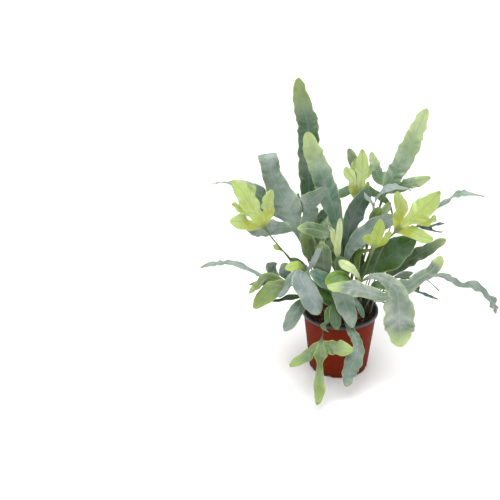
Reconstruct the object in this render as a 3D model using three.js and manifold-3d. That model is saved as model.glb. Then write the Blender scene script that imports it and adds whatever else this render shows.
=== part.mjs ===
// A blue star fern (Phlebodium) in its nursery pot, in millimetres.
// Origin: middle of the pot's underside. +Z is up and -Y is the front.
import * as THREE from 'three';
import { mergeVertices } from 'three/addons/utils/BufferGeometryUtils.js';
import Module from 'manifold-3d';

const { CatmullRomCurve3, MathUtils, Vector3 } = THREE;
const { lerp, smoothstep } = MathUtils;
const FULL_TURN = 2 * Math.PI;

const wasm = await Module();
wasm.setup();

// Pot: a thin tapered wall with a rolled lip, and drain notches round its foot
const POT_HEIGHT = 100;
const RIM_RADIUS = 60;
const SHOULDER_RADIUS = 57;
const BASE_RADIUS = 46;
const LIP_HEIGHT = 4.5;
const LIP_ROUND = 0.8;
const LIP_FLARE = 1;
const WALL = 1.2;
const FLOOR = 1.6;
const FOOT_ROUND = 1.5;
const CORNER = 1;
const POT_SIDES = 40;
const DRAIN_NOTCHES = 8;
const NOTCH_WIDTH = 11;
const NOTCH_HEIGHT = 5;
const NOTCH_DEPTH = 7;
const NOTCH_SIDES = 10;

// Soil: it fills the pot, with lumps in its top of [height, length along X, length along Y, shift]
const SOIL_TOP = 90;
const SOIL_LUMPS = [[0.65, 30, 33, 1.3], [0.5, 11, 14, 2]];
const SOIL_RINGS = 5;
const SOIL_SIDES = 28;
const FIT_GAP = 0.35;

// Rhizome: a creeping stem and its side branch, each through points [x, y], half sunk in the soil
const RHIZOME_RADIUS = 4.5;
const RHIZOME_STEMS = [
  [[-30, -4], [-16, 0], [-4, -6], [10, -8], [24, -4]],
  [[-4, -6], [4, 2], [8, 12], [12, 22], [8, 34]],
];
const RHIZOME_LIFT = 0.5;
const RHIZOME_STEPS = 12;
const RHIZOME_SIDES = 8;
const SCALE_RELIEF = 0.08;

// Stipes: each goes straight down into its own hole in the soil
const STIPE_RADIUS = 1;
const STIPE_DEPTH = 0.9;
const STIPE_EDGE = 0.4;
const STIPE_STEP = 28;
const ROOT_DEPTH = 12;
const ROOT_SHOW = 2;
const HOLE_RADIUS = 1.6;
const HOLE_RISE = 8;
const HOLE_SIDES = 6;

// Blades: a stipe widens into a blade between these two widths
const LEAFY_FROM = 2.5;
const LEAFY_WHOLE = 8;
const BLADE_HALF_THICKNESS = 0.32;
const RIB_RISE = 0.3;
const BLADE_STEP = 10;
const TIP_STEP = 2.5;
const TIP_ROUND = 0.6;
const LOBE_BLEND = 20;
const LOBE_GAP = 1;
const CURVE_SAMPLES = 200;

// Waves of the margins, as shares of the half width
const WAVE_LENGTH = 42;
const WAVE_LIFT = 0.13;
const BLADE_ARCH = 0.1;
const RIGHT_SHIFT = 2.2;
const LOBE_SHIFT = 1.7;
const MARGIN_SWELL = 0.05;
const SWELL_RATE = 1.3;

const COLOURS = {
  pot: 0x74301f,
  soil: 0x241812,
  rhizome: 0x9a6a3a,
  green: 0x5f7d5a,
  limetip: 0x86a06c,
  grey: 0x7c9480,
  lime: 0xb4cb5c,
  paletip: 0x93ac84,
  dark: 0x45633f,
  blue: 0x92a7a2,
  darkgrey: 0x566f5c,
  olive: 0x5c7a3a,
  pale: 0xa9bf9d,
  bluelime: 0x9db5a0,
  teal: 0x6f8d80,
  limeedge: 0x6d9a42,
  limepale: 0xc6d79a,
  limetips: 0x93ad72,
  sage: 0x708a72,
  slate: 0x748b78,
};

// Fronds, tall ones first. Root is [x, y] at the soil. The midrib runs up from it through points of
// [x, y, z, width], and each lobe grows from a place counted in those points, 2.5 being halfway from
// point 2 to point 3. Face is the way that the upper side looks at the middle of the blade.
const FRONDS = [
  {
    name: 'tall_back', tone: 'sage', face: [0, -0.9, 0.35], root: [-14, 30],
    midrib: [
      [-29, 28, 167, 2], [-42, 32, 230, 9], [-50, 36, 279, 26], [-53, 38, 336, 31], [-55, 36, 394, 32],
      [-64, 33, 428, 27], [-69, 29, 455, 18], [-71, 24, 473, 8],
    ],
    lobes: [
      { at: 2.5, points: [[-60, 34, 266, 12], [-68, 33, 284, 8]] },
      { at: 2.1, points: [[-27, 38, 246, 14], [-20, 40, 260, 8]] },
    ],
  },
  {
    name: 'tall_front', tone: 'limetip', face: [0.1, -0.9, 0.4], root: [-6, 8],
    midrib: [
      [-2, 8, 164, 2], [-2, 11, 209, 8], [-8, 13, 244, 21], [-19, 14, 281, 31], [-33, 12, 323, 32],
      [-46, 9, 357, 29], [-54, 6, 381, 21], [-58, 2, 397, 9],
    ],
    lobes: [],
  },
  {
    name: 'left_grey', tone: 'grey', face: [0, -0.8, 0.6], root: [-26, 14],
    midrib: [
      [-42, 8, 155, 2], [-60, 5, 206, 2.4], [-70, 4, 240, 15], [-83, 6, 270, 44], [-97, 8, 297, 37],
      [-108, 8, 325, 29], [-113, 8, 349, 29], [-115, 16, 356, 29], [-116, 28, 349, 28],
      [-116, 38, 335, 16],
    ],
    lobes: [
      { at: 2.9, points: [[-58, 1, 275, 31], [-47, -1, 290, 29], [-36, -3, 301, 18], [-28, -4, 311, 5]] },
      {
        at: 3.2,
        points: [[-90, -6, 248, 28], [-111, -10, 244, 32], [-130, -14, 244, 24], [-149, -16, 248, 6]],
      },
      {
        at: 4.2,
        points: [
          [-123, 12, 287, 26], [-143, 12, 301, 24], [-164, 12, 309, 18], [-184, 12, 312, 13],
          [-203, 12, 308, 5],
        ],
        tipFace: [0, 0.35, 0.94],
      },
    ],
  },
  {
    name: 'left_lime', tone: 'lime', face: [0, -0.8, 0.6], root: [-30, -4],
    midrib: [
      [-61, -8, 151, 2], [-80, -14, 193, 2], [-108, -20, 234, 2.2], [-119, -22, 252, 2.5],
      [-129, -22, 270, 20], [-141, -22, 291, 27], [-154, -22, 314, 24], [-162, -22, 324, 15],
      [-169, -22, 330, 5],
    ],
    lobes: [
      { at: 4.7, points: [[-141, -20, 261, 24], [-154, -22, 262, 25], [-172, -24, 265, 11]] },
      { at: 5.9, points: [[-156, -23, 291, 13], [-169, -24, 292, 5]] },
      { at: 4.7, points: [[-120, -24, 284, 23], [-114, -26, 301, 22], [-109, -28, 318, 9]] },
      { at: 6.6, points: [[-144, -22, 315, 9], [-139, -22, 324, 4]] },
    ],
  },
  {
    name: 'mid_simple', tone: 'green', face: [0, -0.7, 0.7], root: [-4, -6],
    midrib: [
      [-5, -6, 163, 2], [-9, -10, 208, 2.4], [-16, -14, 234, 9], [-33, -18, 244, 22],
      [-53, -22, 251, 21], [-71, -26, 253, 8],
    ],
    lobes: [],
  },
  {
    name: 'mid_lime', tone: 'limepale', face: [0, -0.8, 0.6], root: [0, -14],
    midrib: [
      [-6, -16, 159, 2], [-7, -20, 196, 3], [-9, -21, 212, 11], [-8, -22, 226, 9], [-7, -24, 249, 10],
      [-7, -26, 270, 6],
    ],
    lobes: [
      { at: 4, points: [[-15, -24, 244, 9], [-25, -26, 257, 4]] },
    ],
  },
  {
    name: 'top_lime', tone: 'lime', face: [0, -0.9, 0.4], root: [12, 22],
    midrib: [
      [18, 20, 157, 2], [23, 18, 237, 2], [25, 15, 287, 4], [26, 14, 308, 13], [27, 14, 331, 19],
      [26, 13, 347, 19], [25, 12, 366, 5],
    ],
    lobes: [
      { at: 3.1, points: [[15, 9, 316, 16], [7, 8, 327, 17], [0, 7, 339, 8]] },
      { at: 3.3, points: [[33, 13, 303, 8], [37, 12, 313, 4]] },
      { at: 5.1, points: [[18, 9, 344, 8], [15, 8, 352, 4]] },
      { at: 4.6, points: [[32, 13, 329, 7], [38, 13, 338, 3]] },
    ],
  },
  {
    name: 'top_behind', tone: 'sage', face: [0, -0.9, 0.4], root: [9, 40],
    midrib: [
      [22, 44, 144, 2], [27, 56, 227, 2], [30, 54, 279, 8], [22, 48, 315, 16], [13, 44, 339, 15],
      [7, 40, 355, 6],
    ],
    lobes: [],
  },
  {
    name: 'right_tall', tone: 'paletip', face: [0, -0.9, 0.4], root: [22, 26],
    midrib: [
      [36, 22, 174, 2], [53, 21, 252, 2], [63, 20, 290, 6], [72, 22, 310, 25], [85, 24, 334, 29],
      [96, 25, 360, 30], [106, 24, 389, 25], [113, 22, 412, 18], [119, 20, 427, 8],
    ],
    lobes: [
      { at: 3.7, points: [[53, 22, 315, 18], [46, 21, 337, 17], [39, 20, 358, 7]] },
      { at: 3.6, points: [[91, 20, 303, 19], [112, 18, 310, 17], [131, 16, 318, 7]] },
    ],
  },
  {
    name: 'back_strap', tone: 'dark', face: [0, -0.5, 0.85], root: [30, 24],
    midrib: [
      [54, 30, 166, 2], [78, 34, 234, 2.4], [74, 34, 261, 6], [58, 36, 277, 15], [24, 38, 291, 19],
      [1, 38, 283, 17], [-19, 36, 274, 6],
    ],
    lobes: [],
  },
  {
    name: 'blue_strap', tone: 'blue', face: [0, -0.1, 1], root: [16, 8],
    midrib: [
      [18, 12, 144, 2], [33, 22, 192, 2], [43, 24, 236, 2], [48, 18, 262, 2.4], [47, 8, 282, 9],
      [53, -2, 300, 16], [64, -6, 311, 17], [78, -4, 313, 16], [90, 0, 308, 13], [102, 4, 301, 5],
    ],
    lobes: [
      { at: 4.6, points: [[39, -1, 295, 10], [29, -4, 305, 7]] },
    ],
  },
  {
    name: 'dark_upright', tone: 'darkgrey', face: [0.3, -0.8, 0.5], root: [4, 2],
    midrib: [
      [5, 0, 142, 2], [4, -4, 184, 3], [7, -8, 231, 18], [16, -5, 265, 30], [26, 2, 283, 27],
      [33, 6, 295, 20], [39, 8, 304, 8],
    ],
    lobes: [],
  },
  {
    name: 'blue_broad', tone: 'slate', face: [-0.2, -0.75, 0.65], root: [10, -8],
    midrib: [
      [7, -10, 138, 2], [4, -16, 180, 3], [10, -20, 215, 18], [24, -22, 236, 26], [43, -20, 251, 27],
      [64, -15, 261, 23], [84, -9, 264, 10],
    ],
    lobes: [],
  },
  {
    name: 'olive_leaf', tone: 'olive', face: [0, -0.7, 0.7], root: [24, 12],
    midrib: [
      [29, 8, 146, 2], [37, 4, 206, 2.2], [40, -4, 248, 9], [47, -5, 262, 17], [51, -5, 271, 15],
      [55, -6, 279, 7],
    ],
    lobes: [],
  },
  {
    name: 'pale_tip', tone: 'pale', face: [0, -0.7, 0.7], root: [27, 4],
    midrib: [[32, 4, 157, 2], [49, 8, 216, 2], [58, 10, 253, 8], [65, 10, 269, 13], [72, 10, 280, 5]],
    lobes: [],
  },
  {
    name: 'right_lime', tone: 'lime', face: [0, -0.8, 0.6], root: [34, -6],
    midrib: [
      [43, -30, 174, 2], [62, -38, 236, 2], [80, -32, 255, 3.5], [96, -28, 268, 16],
      [113, -26, 283, 34], [127, -26, 297, 26], [140, -26, 315, 5],
    ],
    lobes: [
      { at: 3.3, points: [[85, -30, 280, 20], [80, -31, 299, 20], [75, -32, 317, 9]] },
      { at: 4.4, points: [[128, -27, 272, 18], [137, -28, 265, 8]] },
      { at: 3.2, points: [[99, -30, 251, 19], [116, -32, 242, 19], [134, -34, 238, 9]] },
    ],
  },
  {
    name: 'small_lime', tone: 'lime', face: [0, -0.8, 0.6], root: [24, -20],
    midrib: [
      [25, -24, 146, 2], [38, -36, 201, 2], [44, -42, 232, 5], [47, -43, 247, 18], [51, -43, 264, 16],
      [52, -42, 277, 6],
    ],
    lobes: [
      { at: 3.1, points: [[34, -44, 245, 14], [25, -45, 247, 7]] },
      { at: 3.1, points: [[58, -44, 247, 14], [69, -45, 257, 6]] },
    ],
  },
  {
    name: 'dark_broad', tone: 'dark', face: [0.2, -0.75, 0.6], root: [20, -12],
    midrib: [
      [23, -14, 141, 2], [28, -16, 163, 3], [38, -18, 180, 18], [51, -18, 190, 38], [69, -16, 200, 45],
      [88, -12, 214, 38], [103, -8, 224, 22], [112, -6, 231, 8],
    ],
    lobes: [],
  },
  {
    name: 'under_strap', tone: 'green', face: [0, -0.6, 0.8], root: [36, 4],
    midrib: [
      [40, 2, 128, 2], [61, 2, 150, 3], [81, 2, 167, 16], [104, 2, 185, 22], [126, 2, 200, 21],
      [145, 2, 212, 16], [159, 2, 221, 8],
    ],
    lobes: [],
  },
  {
    name: 'far_right', tone: 'grey', face: [0, -0.05, 1], root: [36, 14],
    midrib: [
      [49, 10, 154, 2], [83, 6, 209, 2], [117, 4, 247, 3], [139, 2, 273, 9], [155, 0, 288, 16],
      [173, -2, 300, 20], [190, -4, 300, 10], [210, -6, 296, 3],
    ],
    lobes: [],
  },
  {
    name: 'right_thin', tone: 'darkgrey', face: [0, 0, 1], root: [40, -2],
    midrib: [
      [49, 6, 138, 2], [78, 12, 186, 2], [104, 4, 230, 2.5], [117, -6, 250, 7], [132, -10, 249, 9],
      [142, -12, 254, 10], [152, -14, 255, 4],
    ],
    lobes: [
      { at: 4.3, points: [[135, -12, 246, 7], [151, -14, 242, 3]] },
    ],
  },
  {
    name: 'front_right', tone: 'bluelime', face: [0, -0.85, 0.5], root: [16, -30],
    midrib: [
      [15, -38, 144, 2], [28, -48, 175, 3], [46, -56, 188, 10], [65, -64, 184, 20], [78, -72, 170, 26],
      [82, -80, 147, 46], [84, -86, 121, 47], [86, -90, 97, 32], [87, -91, 84, 16],
    ],
    lobes: [
      {
        at: 4.9,
        points: [
          [61, -76, 163, 15], [45, -78, 169, 20], [30, -80, 176, 19], [13, -82, 182, 27],
          [-2, -83, 185, 18], [-15, -84, 188, 17], [-29, -86, 190, 9],
        ],
      },
      {
        at: 4.7,
        points: [
          [96, -72, 180, 16], [110, -72, 194, 19], [126, -72, 204, 18], [135, -72, 217, 18],
          [142, -72, 231, 13],
        ],
      },
    ],
  },
  {
    name: 'trailing', tone: 'slate', face: [0, -0.3, 0.95], root: [42, -8],
    midrib: [
      [58, -4, 132, 2], [84, -6, 152, 2], [114, -10, 161, 3], [147, -14, 167, 9], [164, -17, 165, 14],
      [175, -18, 157, 14], [186, -20, 153, 13], [197, -23, 157, 16], [209, -26, 153, 19],
      [220, -30, 145, 13], [228, -33, 135, 18], [237, -36, 121, 17], [237, -38, 111, 8],
    ],
    lobes: [],
  },
  {
    name: 'thin_blades', tone: 'darkgrey', face: [0, 0, 1], root: [30, -26],
    midrib: [
      [45, -40, 145, 2], [74, -48, 160, 2.5], [102, -52, 163, 6], [123, -56, 157, 10],
      [144, -60, 150, 3],
    ],
    lobes: [
      { at: 3.2, points: [[120, -54, 179, 5], [133, -56, 171, 8], [145, -58, 162, 3]] },
    ],
  },
  {
    name: 'left_long', tone: 'grey', face: [0, -0.2, 1], root: [-38, -10],
    midrib: [
      [-59, -16, 142, 2], [-83, -20, 156, 4], [-103, -22, 164, 9], [-123, -24, 172, 8],
      [-141, -26, 183, 12], [-152, -26, 190, 15], [-168, -28, 196, 12], [-189, -30, 197, 11],
      [-205, -31, 194, 9], [-217, -32, 189, 3],
    ],
    lobes: [
      { at: 2.8, points: [[-106, -23, 175, 21], [-108, -23, 193, 19]], tipFace: [0, -0.9, 0.4] },
      { at: 1.6, points: [[-86, -14, 171, 22], [-89, -11, 188, 18]], tipFace: [0, -0.9, 0.4] },
      { at: 3.3, points: [[-118, -28, 163, 9], [-130, -30, 162, 8], [-143, -32, 160, 3]] },
    ],
  },
  {
    name: 'left_two', tone: 'limetips', face: [0, -0.75, 0.65], root: [-42, -22],
    midrib: [
      [-58, -30, 139, 2], [-77, -36, 163, 5], [-91, -38, 162, 20], [-109, -42, 155, 28],
      [-123, -44, 142, 24], [-136, -46, 126, 10],
    ],
    lobes: [
      { at: 3.2, points: [[-114, -44, 161, 18], [-129, -45, 156, 15], [-143, -47, 153, 8]] },
    ],
  },
  {
    name: 'bud_leaf', tone: 'lime', face: [0, -0.7, 0.7], root: [-38, 2],
    midrib: [
      [-50, -6, 145, 2], [-58, -18, 178, 3], [-67, -27, 191, 14], [-79, -28, 189, 15],
      [-89, -29, 186, 7],
    ],
    lobes: [],
  },
  {
    name: 'bud_shade', tone: 'dark', face: [0, -0.4, 0.9], root: [-38, 16],
    midrib: [[-44, 20, 132, 2], [-57, 20, 168, 6], [-68, 18, 176, 11], [-81, 16, 179, 5]],
    lobes: [],
  },
  {
    name: 'front_left', tone: 'blue', face: [0.2, -0.8, 0.6], root: [-24, -10],
    midrib: [
      [-42, -12, 129, 2], [-55, -20, 160, 2.3], [-62, -32, 184, 8], [-65, -44, 180, 27],
      [-57, -54, 167, 34], [-47, -60, 149, 32], [-39, -62, 133, 26], [-35, -62, 125, 13],
    ],
    lobes: [
      { at: 3.7, points: [[-88, -50, 160, 9], [-99, -54, 150, 6]] },
      { at: 3, points: [[-52, -34, 202, 11], [-42, -34, 216, 11], [-32, -34, 227, 5]] },
    ],
  },
  {
    name: 'mid_green', tone: 'green', face: [0, -0.8, 0.6], root: [-12, -16],
    midrib: [
      [-18, -18, 134, 2], [-23, -22, 166, 8], [-29, -24, 192, 26], [-31, -24, 212, 24],
      [-33, -22, 231, 7],
    ],
    lobes: [],
  },
  {
    name: 'mid_blue', tone: 'teal', face: [0, -0.6, 0.8], root: [-8, -24],
    midrib: [
      [-12, -28, 131, 2.4], [-16, -32, 154, 14], [-27, -36, 170, 26], [-41, -38, 180, 22],
      [-52, -40, 186, 8],
    ],
    lobes: [],
  },
  {
    name: 'lime_edge', tone: 'limeedge', face: [0, -0.6, 0.8], root: [8, -24],
    midrib: [
      [8, -32, 128, 2], [15, -42, 162, 6], [4, -48, 181, 18], [-15, -55, 186, 20], [-28, -59, 175, 9],
    ],
    lobes: [],
  },
  {
    name: 'hang_mid', tone: 'grey', face: [0, -0.8, 0.6], root: [6, -16],
    midrib: [
      [7, -22, 131, 2], [2, -31, 157, 2.4], [-5, -43, 169, 10], [-4, -54, 161, 28], [2, -64, 146, 31],
      [10, -72, 128, 22], [15, -76, 109, 8],
    ],
    lobes: [],
  },
  {
    name: 'hang_narrow', tone: 'teal', face: [0, -0.7, 0.7], root: [20, -16],
    midrib: [
      [20, -20, 119, 2], [19, -27, 136, 2.4], [21, -39, 135, 7], [27, -47, 126, 10], [33, -51, 112, 5],
    ],
    lobes: [],
  },
  {
    name: 'hang_left', tone: 'grey', face: [0, -0.75, 0.65], root: [-34, -22],
    midrib: [
      [-52, -30, 127, 2], [-59, -38, 138, 5], [-65, -46, 132, 20], [-74, -54, 120, 23],
      [-83, -60, 105, 18], [-89, -63, 95, 6],
    ],
    lobes: [],
  },
  {
    name: 'small_pale', tone: 'limepale', face: [0, -0.75, 0.65], root: [22, -24],
    midrib: [
      [29, -32, 147, 2], [27, -40, 169, 3], [20, -44, 185, 8], [9, -47, 198, 15], [0, -48, 204, 15],
      [-9, -50, 211, 6],
    ],
    lobes: [],
  },
  {
    name: 'arching', tone: 'olive', face: [0, -0.6, 0.8], root: [33, -20],
    midrib: [
      [29, -21, 148, 2.5], [24, -21, 171, 8], [21, -21, 193, 13], [24, -22, 209, 9], [34, -24, 215, 6],
      [46, -26, 216, 3],
    ],
    lobes: [],
  },
  {
    name: 'front_three', tone: 'limetips', face: [0, -0.85, 0.5], root: [-14, -40],
    midrib: [
      [-25, -53, 110, 2], [-29, -64, 105, 2], [-31, -78, 99, 2], [-34, -91, 89, 7],
      [-35, -102, 80, 22], [-36, -112, 68, 8], [-37, -122, 55, 13], [-37, -132, 39, 18],
      [-38, -140, 26, 13], [-41, -148, 18, 5],
    ],
    lobes: [
      { at: 4.5, points: [[-54, -102, 77, 17], [-69, -104, 69, 15], [-82, -106, 60, 8]] },
      { at: 4.4, points: [[-16, -98, 89, 24], [0, -100, 88, 24], [15, -100, 86, 10]] },
    ],
  },
  {
    name: 'front_hang', tone: 'grey', face: [0.1, -0.85, 0.5], root: [6, -42],
    midrib: [
      [4, -52, 113, 2.4], [7, -62, 108, 8], [14, -74, 101, 14], [22, -84, 88, 15], [21, -92, 73, 24],
      [13, -100, 57, 27], [8, -106, 41, 19], [5, -110, 25, 9],
    ],
    lobes: [],
  },
  {
    name: 'front_small', tone: 'dark', face: [0, -0.8, 0.6], root: [-2, -34],
    midrib: [
      [-9, -42, 120, 2.2], [-12, -52, 138, 5], [-14, -62, 133, 16], [-11, -67, 118, 18],
      [-9, -69, 101, 8],
    ],
    lobes: [
      { at: 2.8, points: [[-16, -73, 122, 9], [-17, -78, 113, 12], [-18, -82, 104, 7]] },
    ],
  },
  {
    name: 'left_dark', tone: 'dark', face: [0, -0.2, 1], root: [-42, -14],
    midrib: [
      [-56, -24, 123, 2], [-64, -30, 138, 6], [-78, -34, 140, 14], [-95, -38, 137, 8],
      [-114, -42, 137, 3],
    ],
    lobes: [],
  },
  {
    name: 'brown_leaf', tone: 'olive', face: [0, -0.8, 0.6], root: [-18, 9],
    midrib: [
      [-29, -2, 143, 2], [-43, -6, 182, 8], [-51, -8, 207, 22], [-56, -8, 228, 20], [-61, -6, 244, 7],
    ],
    lobes: [],
  },
  {
    name: 'under_leaf', tone: 'dark', face: [0, -0.6, 0.8], root: [-10, -30],
    midrib: [
      [-14, -35, 123, 2], [-13, -40, 133, 8], [-21, -43, 141, 22], [-32, -46, 149, 22],
      [-41, -48, 155, 9],
    ],
    lobes: [],
  },
  {
    name: 'back_left', tone: 'green', face: [0, 0.4, 0.9], root: [-20, 34],
    midrib: [
      [-32, 50, 114, 2], [-27, 60, 150, 3], [-33, 80, 188, 26], [-38, 105, 199, 34],
      [-41, 130, 197, 28], [-41, 150, 188, 10],
    ],
    lobes: [
      { at: 3, points: [[-16, 98, 199, 18], [-6, 112, 201, 8]] },
      { at: 3, points: [[-52, 98, 199, 18], [-58, 112, 206, 8]] },
    ],
  },
  {
    name: 'back_middle', tone: 'green', face: [0, 0.4, 0.9], root: [-2, 38],
    midrib: [
      [-7, 60, 118, 2], [-4, 70, 145, 3], [-7, 88, 175, 24], [-9, 112, 188, 32], [-11, 140, 189, 26],
      [-11, 160, 183, 10],
    ],
    lobes: [
      { at: 3, points: [[7, 104, 187, 16], [20, 114, 189, 7]] },
      { at: 3, points: [[-22, 106, 186, 18], [-31, 118, 189, 8]] },
    ],
  },
  {
    name: 'back_right', tone: 'teal', face: [0, 0.4, 0.9], root: [18, 42],
    midrib: [
      [22, 60, 127, 2], [31, 70, 158, 3], [38, 88, 175, 26], [46, 112, 177, 32], [52, 140, 171, 24],
      [56, 158, 162, 9],
    ],
    lobes: [
      { at: 3, points: [[62, 104, 180, 18], [79, 116, 183, 8]] },
      { at: 3, points: [[23, 102, 168, 18], [14, 112, 167, 8]] },
    ],
  },
  {
    name: 'back_low_right', tone: 'dark', face: [0, 0.2, 1], root: [28, 28],
    midrib: [
      [36, 36, 133, 2], [52, 58, 141, 2], [69, 78, 142, 4], [87, 98, 141, 22], [103, 120, 137, 26],
      [114, 142, 128, 10],
    ],
    lobes: [
      { at: 4, points: [[75, 104, 142, 16], [73, 117, 144, 7]] },
    ],
  },
  {
    name: 'back_low_left', tone: 'dark', face: [0, 0.2, 1], root: [-34, 26],
    midrib: [
      [-42, 50, 119, 2], [-48, 64, 126, 4], [-54, 84, 127, 20], [-60, 104, 121, 22],
      [-64, 124, 114, 9],
    ],
    lobes: [],
  },
  {
    name: 'back_low_middle', tone: 'dark', face: [0, 0.2, 1], root: [4, 42],
    midrib: [
      [5, 46, 118, 2], [8, 66, 120, 2.4], [8, 86, 118, 8], [8, 106, 113, 24], [8, 130, 104, 26],
      [8, 152, 90, 10],
    ],
    lobes: [],
  },
  {
    name: 'mid_dark', tone: 'dark', face: [0, -0.8, 0.6], root: [18, -2],
    midrib: [[21, -3, 126, 2], [26, -4, 151, 9], [27, -4, 172, 20], [24, -4, 193, 20], [22, -3, 211, 8]],
    lobes: [],
  },
  {
    name: 'shade_right', tone: 'dark', face: [0, -0.5, 0.85], root: [41, -12],
    midrib: [[43, -18, 129, 2], [46, -25, 157, 10], [56, -30, 160, 18], [70, -34, 153, 6]],
    lobes: [],
  },
  {
    name: 'shade_arch', tone: 'dark', face: [0, -0.3, 0.95], root: [42, -22],
    midrib: [[47, -28, 120, 2], [49, -34, 134, 5], [57, -40, 140, 9], [65, -44, 134, 3]],
    lobes: [],
  },
  {
    name: 'shade_far', tone: 'grey', face: [0, -0.3, 0.95], root: [46, 2],
    midrib: [[65, 4, 127, 2], [86, 6, 153, 8], [99, 4, 158, 17], [112, 2, 163, 6]],
    lobes: [],
  },
  {
    name: 'leaflet', tone: 'lime', face: [0, -0.8, 0.6], root: [-30, 6],
    midrib: [
      [-51, 6, 142, 2], [-77, -3, 187, 2], [-94, -12, 211, 2.2], [-100, -13, 214, 12],
      [-106, -14, 219, 6],
    ],
    lobes: [],
  },
  {
    name: 'inner_left', tone: 'dark', face: [0, -0.6, 0.8], root: [-10, -6],
    midrib: [
      [-14, -8, 125, 2], [-19, -11, 137, 8], [-28, -13, 144, 22], [-39, -14, 150, 18],
      [-47, -15, 154, 6],
    ],
    lobes: [],
  },
  {
    name: 'inner_back', tone: 'dark', face: [0, -0.8, 0.6], root: [8, 26],
    midrib: [[9, 28, 124, 2], [8, 31, 141, 12], [8, 33, 161, 46], [7, 36, 181, 44], [7, 38, 199, 14]],
    lobes: [],
  },
  {
    name: 'inner_dark', tone: 'dark', face: [0, -0.8, 0.6], root: [4, -22],
    midrib: [
      [-1, -24, 136, 2], [0, -26, 158, 6], [0, -28, 176, 20], [-3, -28, 194, 22], [-10, -28, 207, 8],
    ],
    lobes: [],
  },
];

// A ribbon is a curve through points [x, y, z, width]. Its last point is the tip.
function makeRibbon(points) {
  const places = points.map(([x, y, z]) => new Vector3(x, y, z));
  const curve = new CatmullRomCurve3(places, false, 'centripetal');
  return { curve, widths: points.map((point) => point[3]), length: curve.getLength(), faces: [] };
}

function squareTo(axis, vector) {
  return vector.clone().addScaledVector(axis, -vector.dot(axis)).normalize();
}

// Carries the way that a leaf faces along its curve without a twist, both ways from one place.
function carryFaces(ribbon, face, from) {
  const sample = (_, i) => ribbon.curve.getTangent(i / CURVE_SAMPLES);
  const along = Array.from({ length: CURVE_SAMPLES + 1 }, sample);
  const start = Math.round((from / ribbon.length) * CURVE_SAMPLES);
  ribbon.faces[start] = squareTo(along[start], face);
  for (let i = start + 1; i <= CURVE_SAMPLES; i += 1) {
    ribbon.faces[i] = squareTo(along[i], ribbon.faces[i - 1]);
  }
  for (let i = start - 1; i >= 0; i -= 1) {
    ribbon.faces[i] = squareTo(along[i], ribbon.faces[i + 1]);
  }
}

// Turns the faces little by little until the last one looks the given way.
function turnFaces(ribbon, face) {
  ribbon.faces = ribbon.faces.map((old, i) => {
    return old.clone().lerp(face, smoothstep(i / CURVE_SAMPLES, 0, 1));
  });
}

function blendedWidth(widths, t) {
  const place = t * (widths.length - 1);
  const i = Math.min(Math.floor(place), widths.length - 2);
  return lerp(widths[i], widths[i + 1], smoothstep(place - i, 0, 1));
}

// Where the ribbon is at a distance along it, which way it runs and faces, and how wide it is there.
function station(ribbon, distance) {
  const t = ribbon.curve.getUtoTmapping(distance / ribbon.length);
  const width = blendedWidth(ribbon.widths, t);
  const intoTip = Math.max(0, 1 - (ribbon.length - distance) / (width * TIP_ROUND));
  const half = (width / 2) * Math.sqrt(1 - intoTip * intoTip);
  const along = ribbon.curve.getTangent(t);
  const face = squareTo(along, ribbon.faces[Math.round(t * CURVE_SAMPLES)]);
  return { distance, point: ribbon.curve.getPoint(t), along, face, half, width };
}

// Distance along a ribbon of a place that is counted in its points.
function distanceAt(ribbon, place) {
  const lengths = ribbon.curve.getLengths();
  const sample = (place / (ribbon.widths.length - 1)) * (lengths.length - 1);
  const i = Math.min(Math.floor(sample), lengths.length - 2);
  return lerp(lengths[i], lengths[i + 1], sample - i);
}

function evenSteps(from, to, step) {
  const count = Math.max(1, Math.round((to - from) / step));
  return Array.from({ length: count }, (_, i) => lerp(from, to, i / count));
}

function rightOf(at) {
  return at.along.clone().cross(at.face);
}

// A point across the ribbon, from side -1 on the left to 1 on the right. Grown is 0 where no wave
// has begun and 1 where the margin waves and the blade arches in full.
function acrossPoint(at, across, half, side, phase, grown) {
  const turn = (FULL_TURN * at.distance) / WAVE_LENGTH + phase + (side > 0 ? RIGHT_SHIFT : 0);
  const lift = half * grown * (WAVE_LIFT * Math.sin(turn) - BLADE_ARCH) * side * side;
  const swell = 1 + MARGIN_SWELL * grown * Math.sin(turn * SWELL_RATE + 1);
  const point = at.point.clone().addScaledVector(across, half * swell * side);
  return point.addScaledVector(at.face, lift);
}

// The midrib is thick and the margin thin, and the stipe is nearly round.
function halfThickness(width, side) {
  const stipe = STIPE_RADIUS * (side === 0 ? STIPE_DEPTH : STIPE_EDGE);
  const blade = BLADE_HALF_THICKNESS + (side === 0 ? RIB_RISE : 0);
  return lerp(stipe, blade, smoothstep(width, LEAFY_FROM, LEAFY_WHOLE));
}

function addPoint(sheet, point, half) {
  sheet.points.push(point);
  sheet.halves.push(half);
  return sheet.points.length - 1;
}

function addRow(sheet, at, across, half, phase, grown) {
  return [-1, 0, 1].map((side) => {
    const point = acrossPoint(at, across, half, side, phase, grown);
    return addPoint(sheet, point, halfThickness(at.width, side));
  });
}

function joinRows(sheet, row, next) {
  for (let j = 0; j + 1 < row.length; j += 1) {
    sheet.triangles.push([row[j], row[j + 1], next[j + 1]], [row[j], next[j + 1], next[j]]);
  }
}

function closeTip(sheet, row, tip) {
  for (let j = 0; j + 1 < row.length; j += 1) sheet.triangles.push([row[j], row[j + 1], tip]);
}

function nearestStation(rachis, distance, candidates) {
  const gap = (i) => Math.abs(rachis.stations[i].distance - distance);
  return candidates.reduce((best, i) => (gap(i) < gap(best) ? i : best));
}

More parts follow.
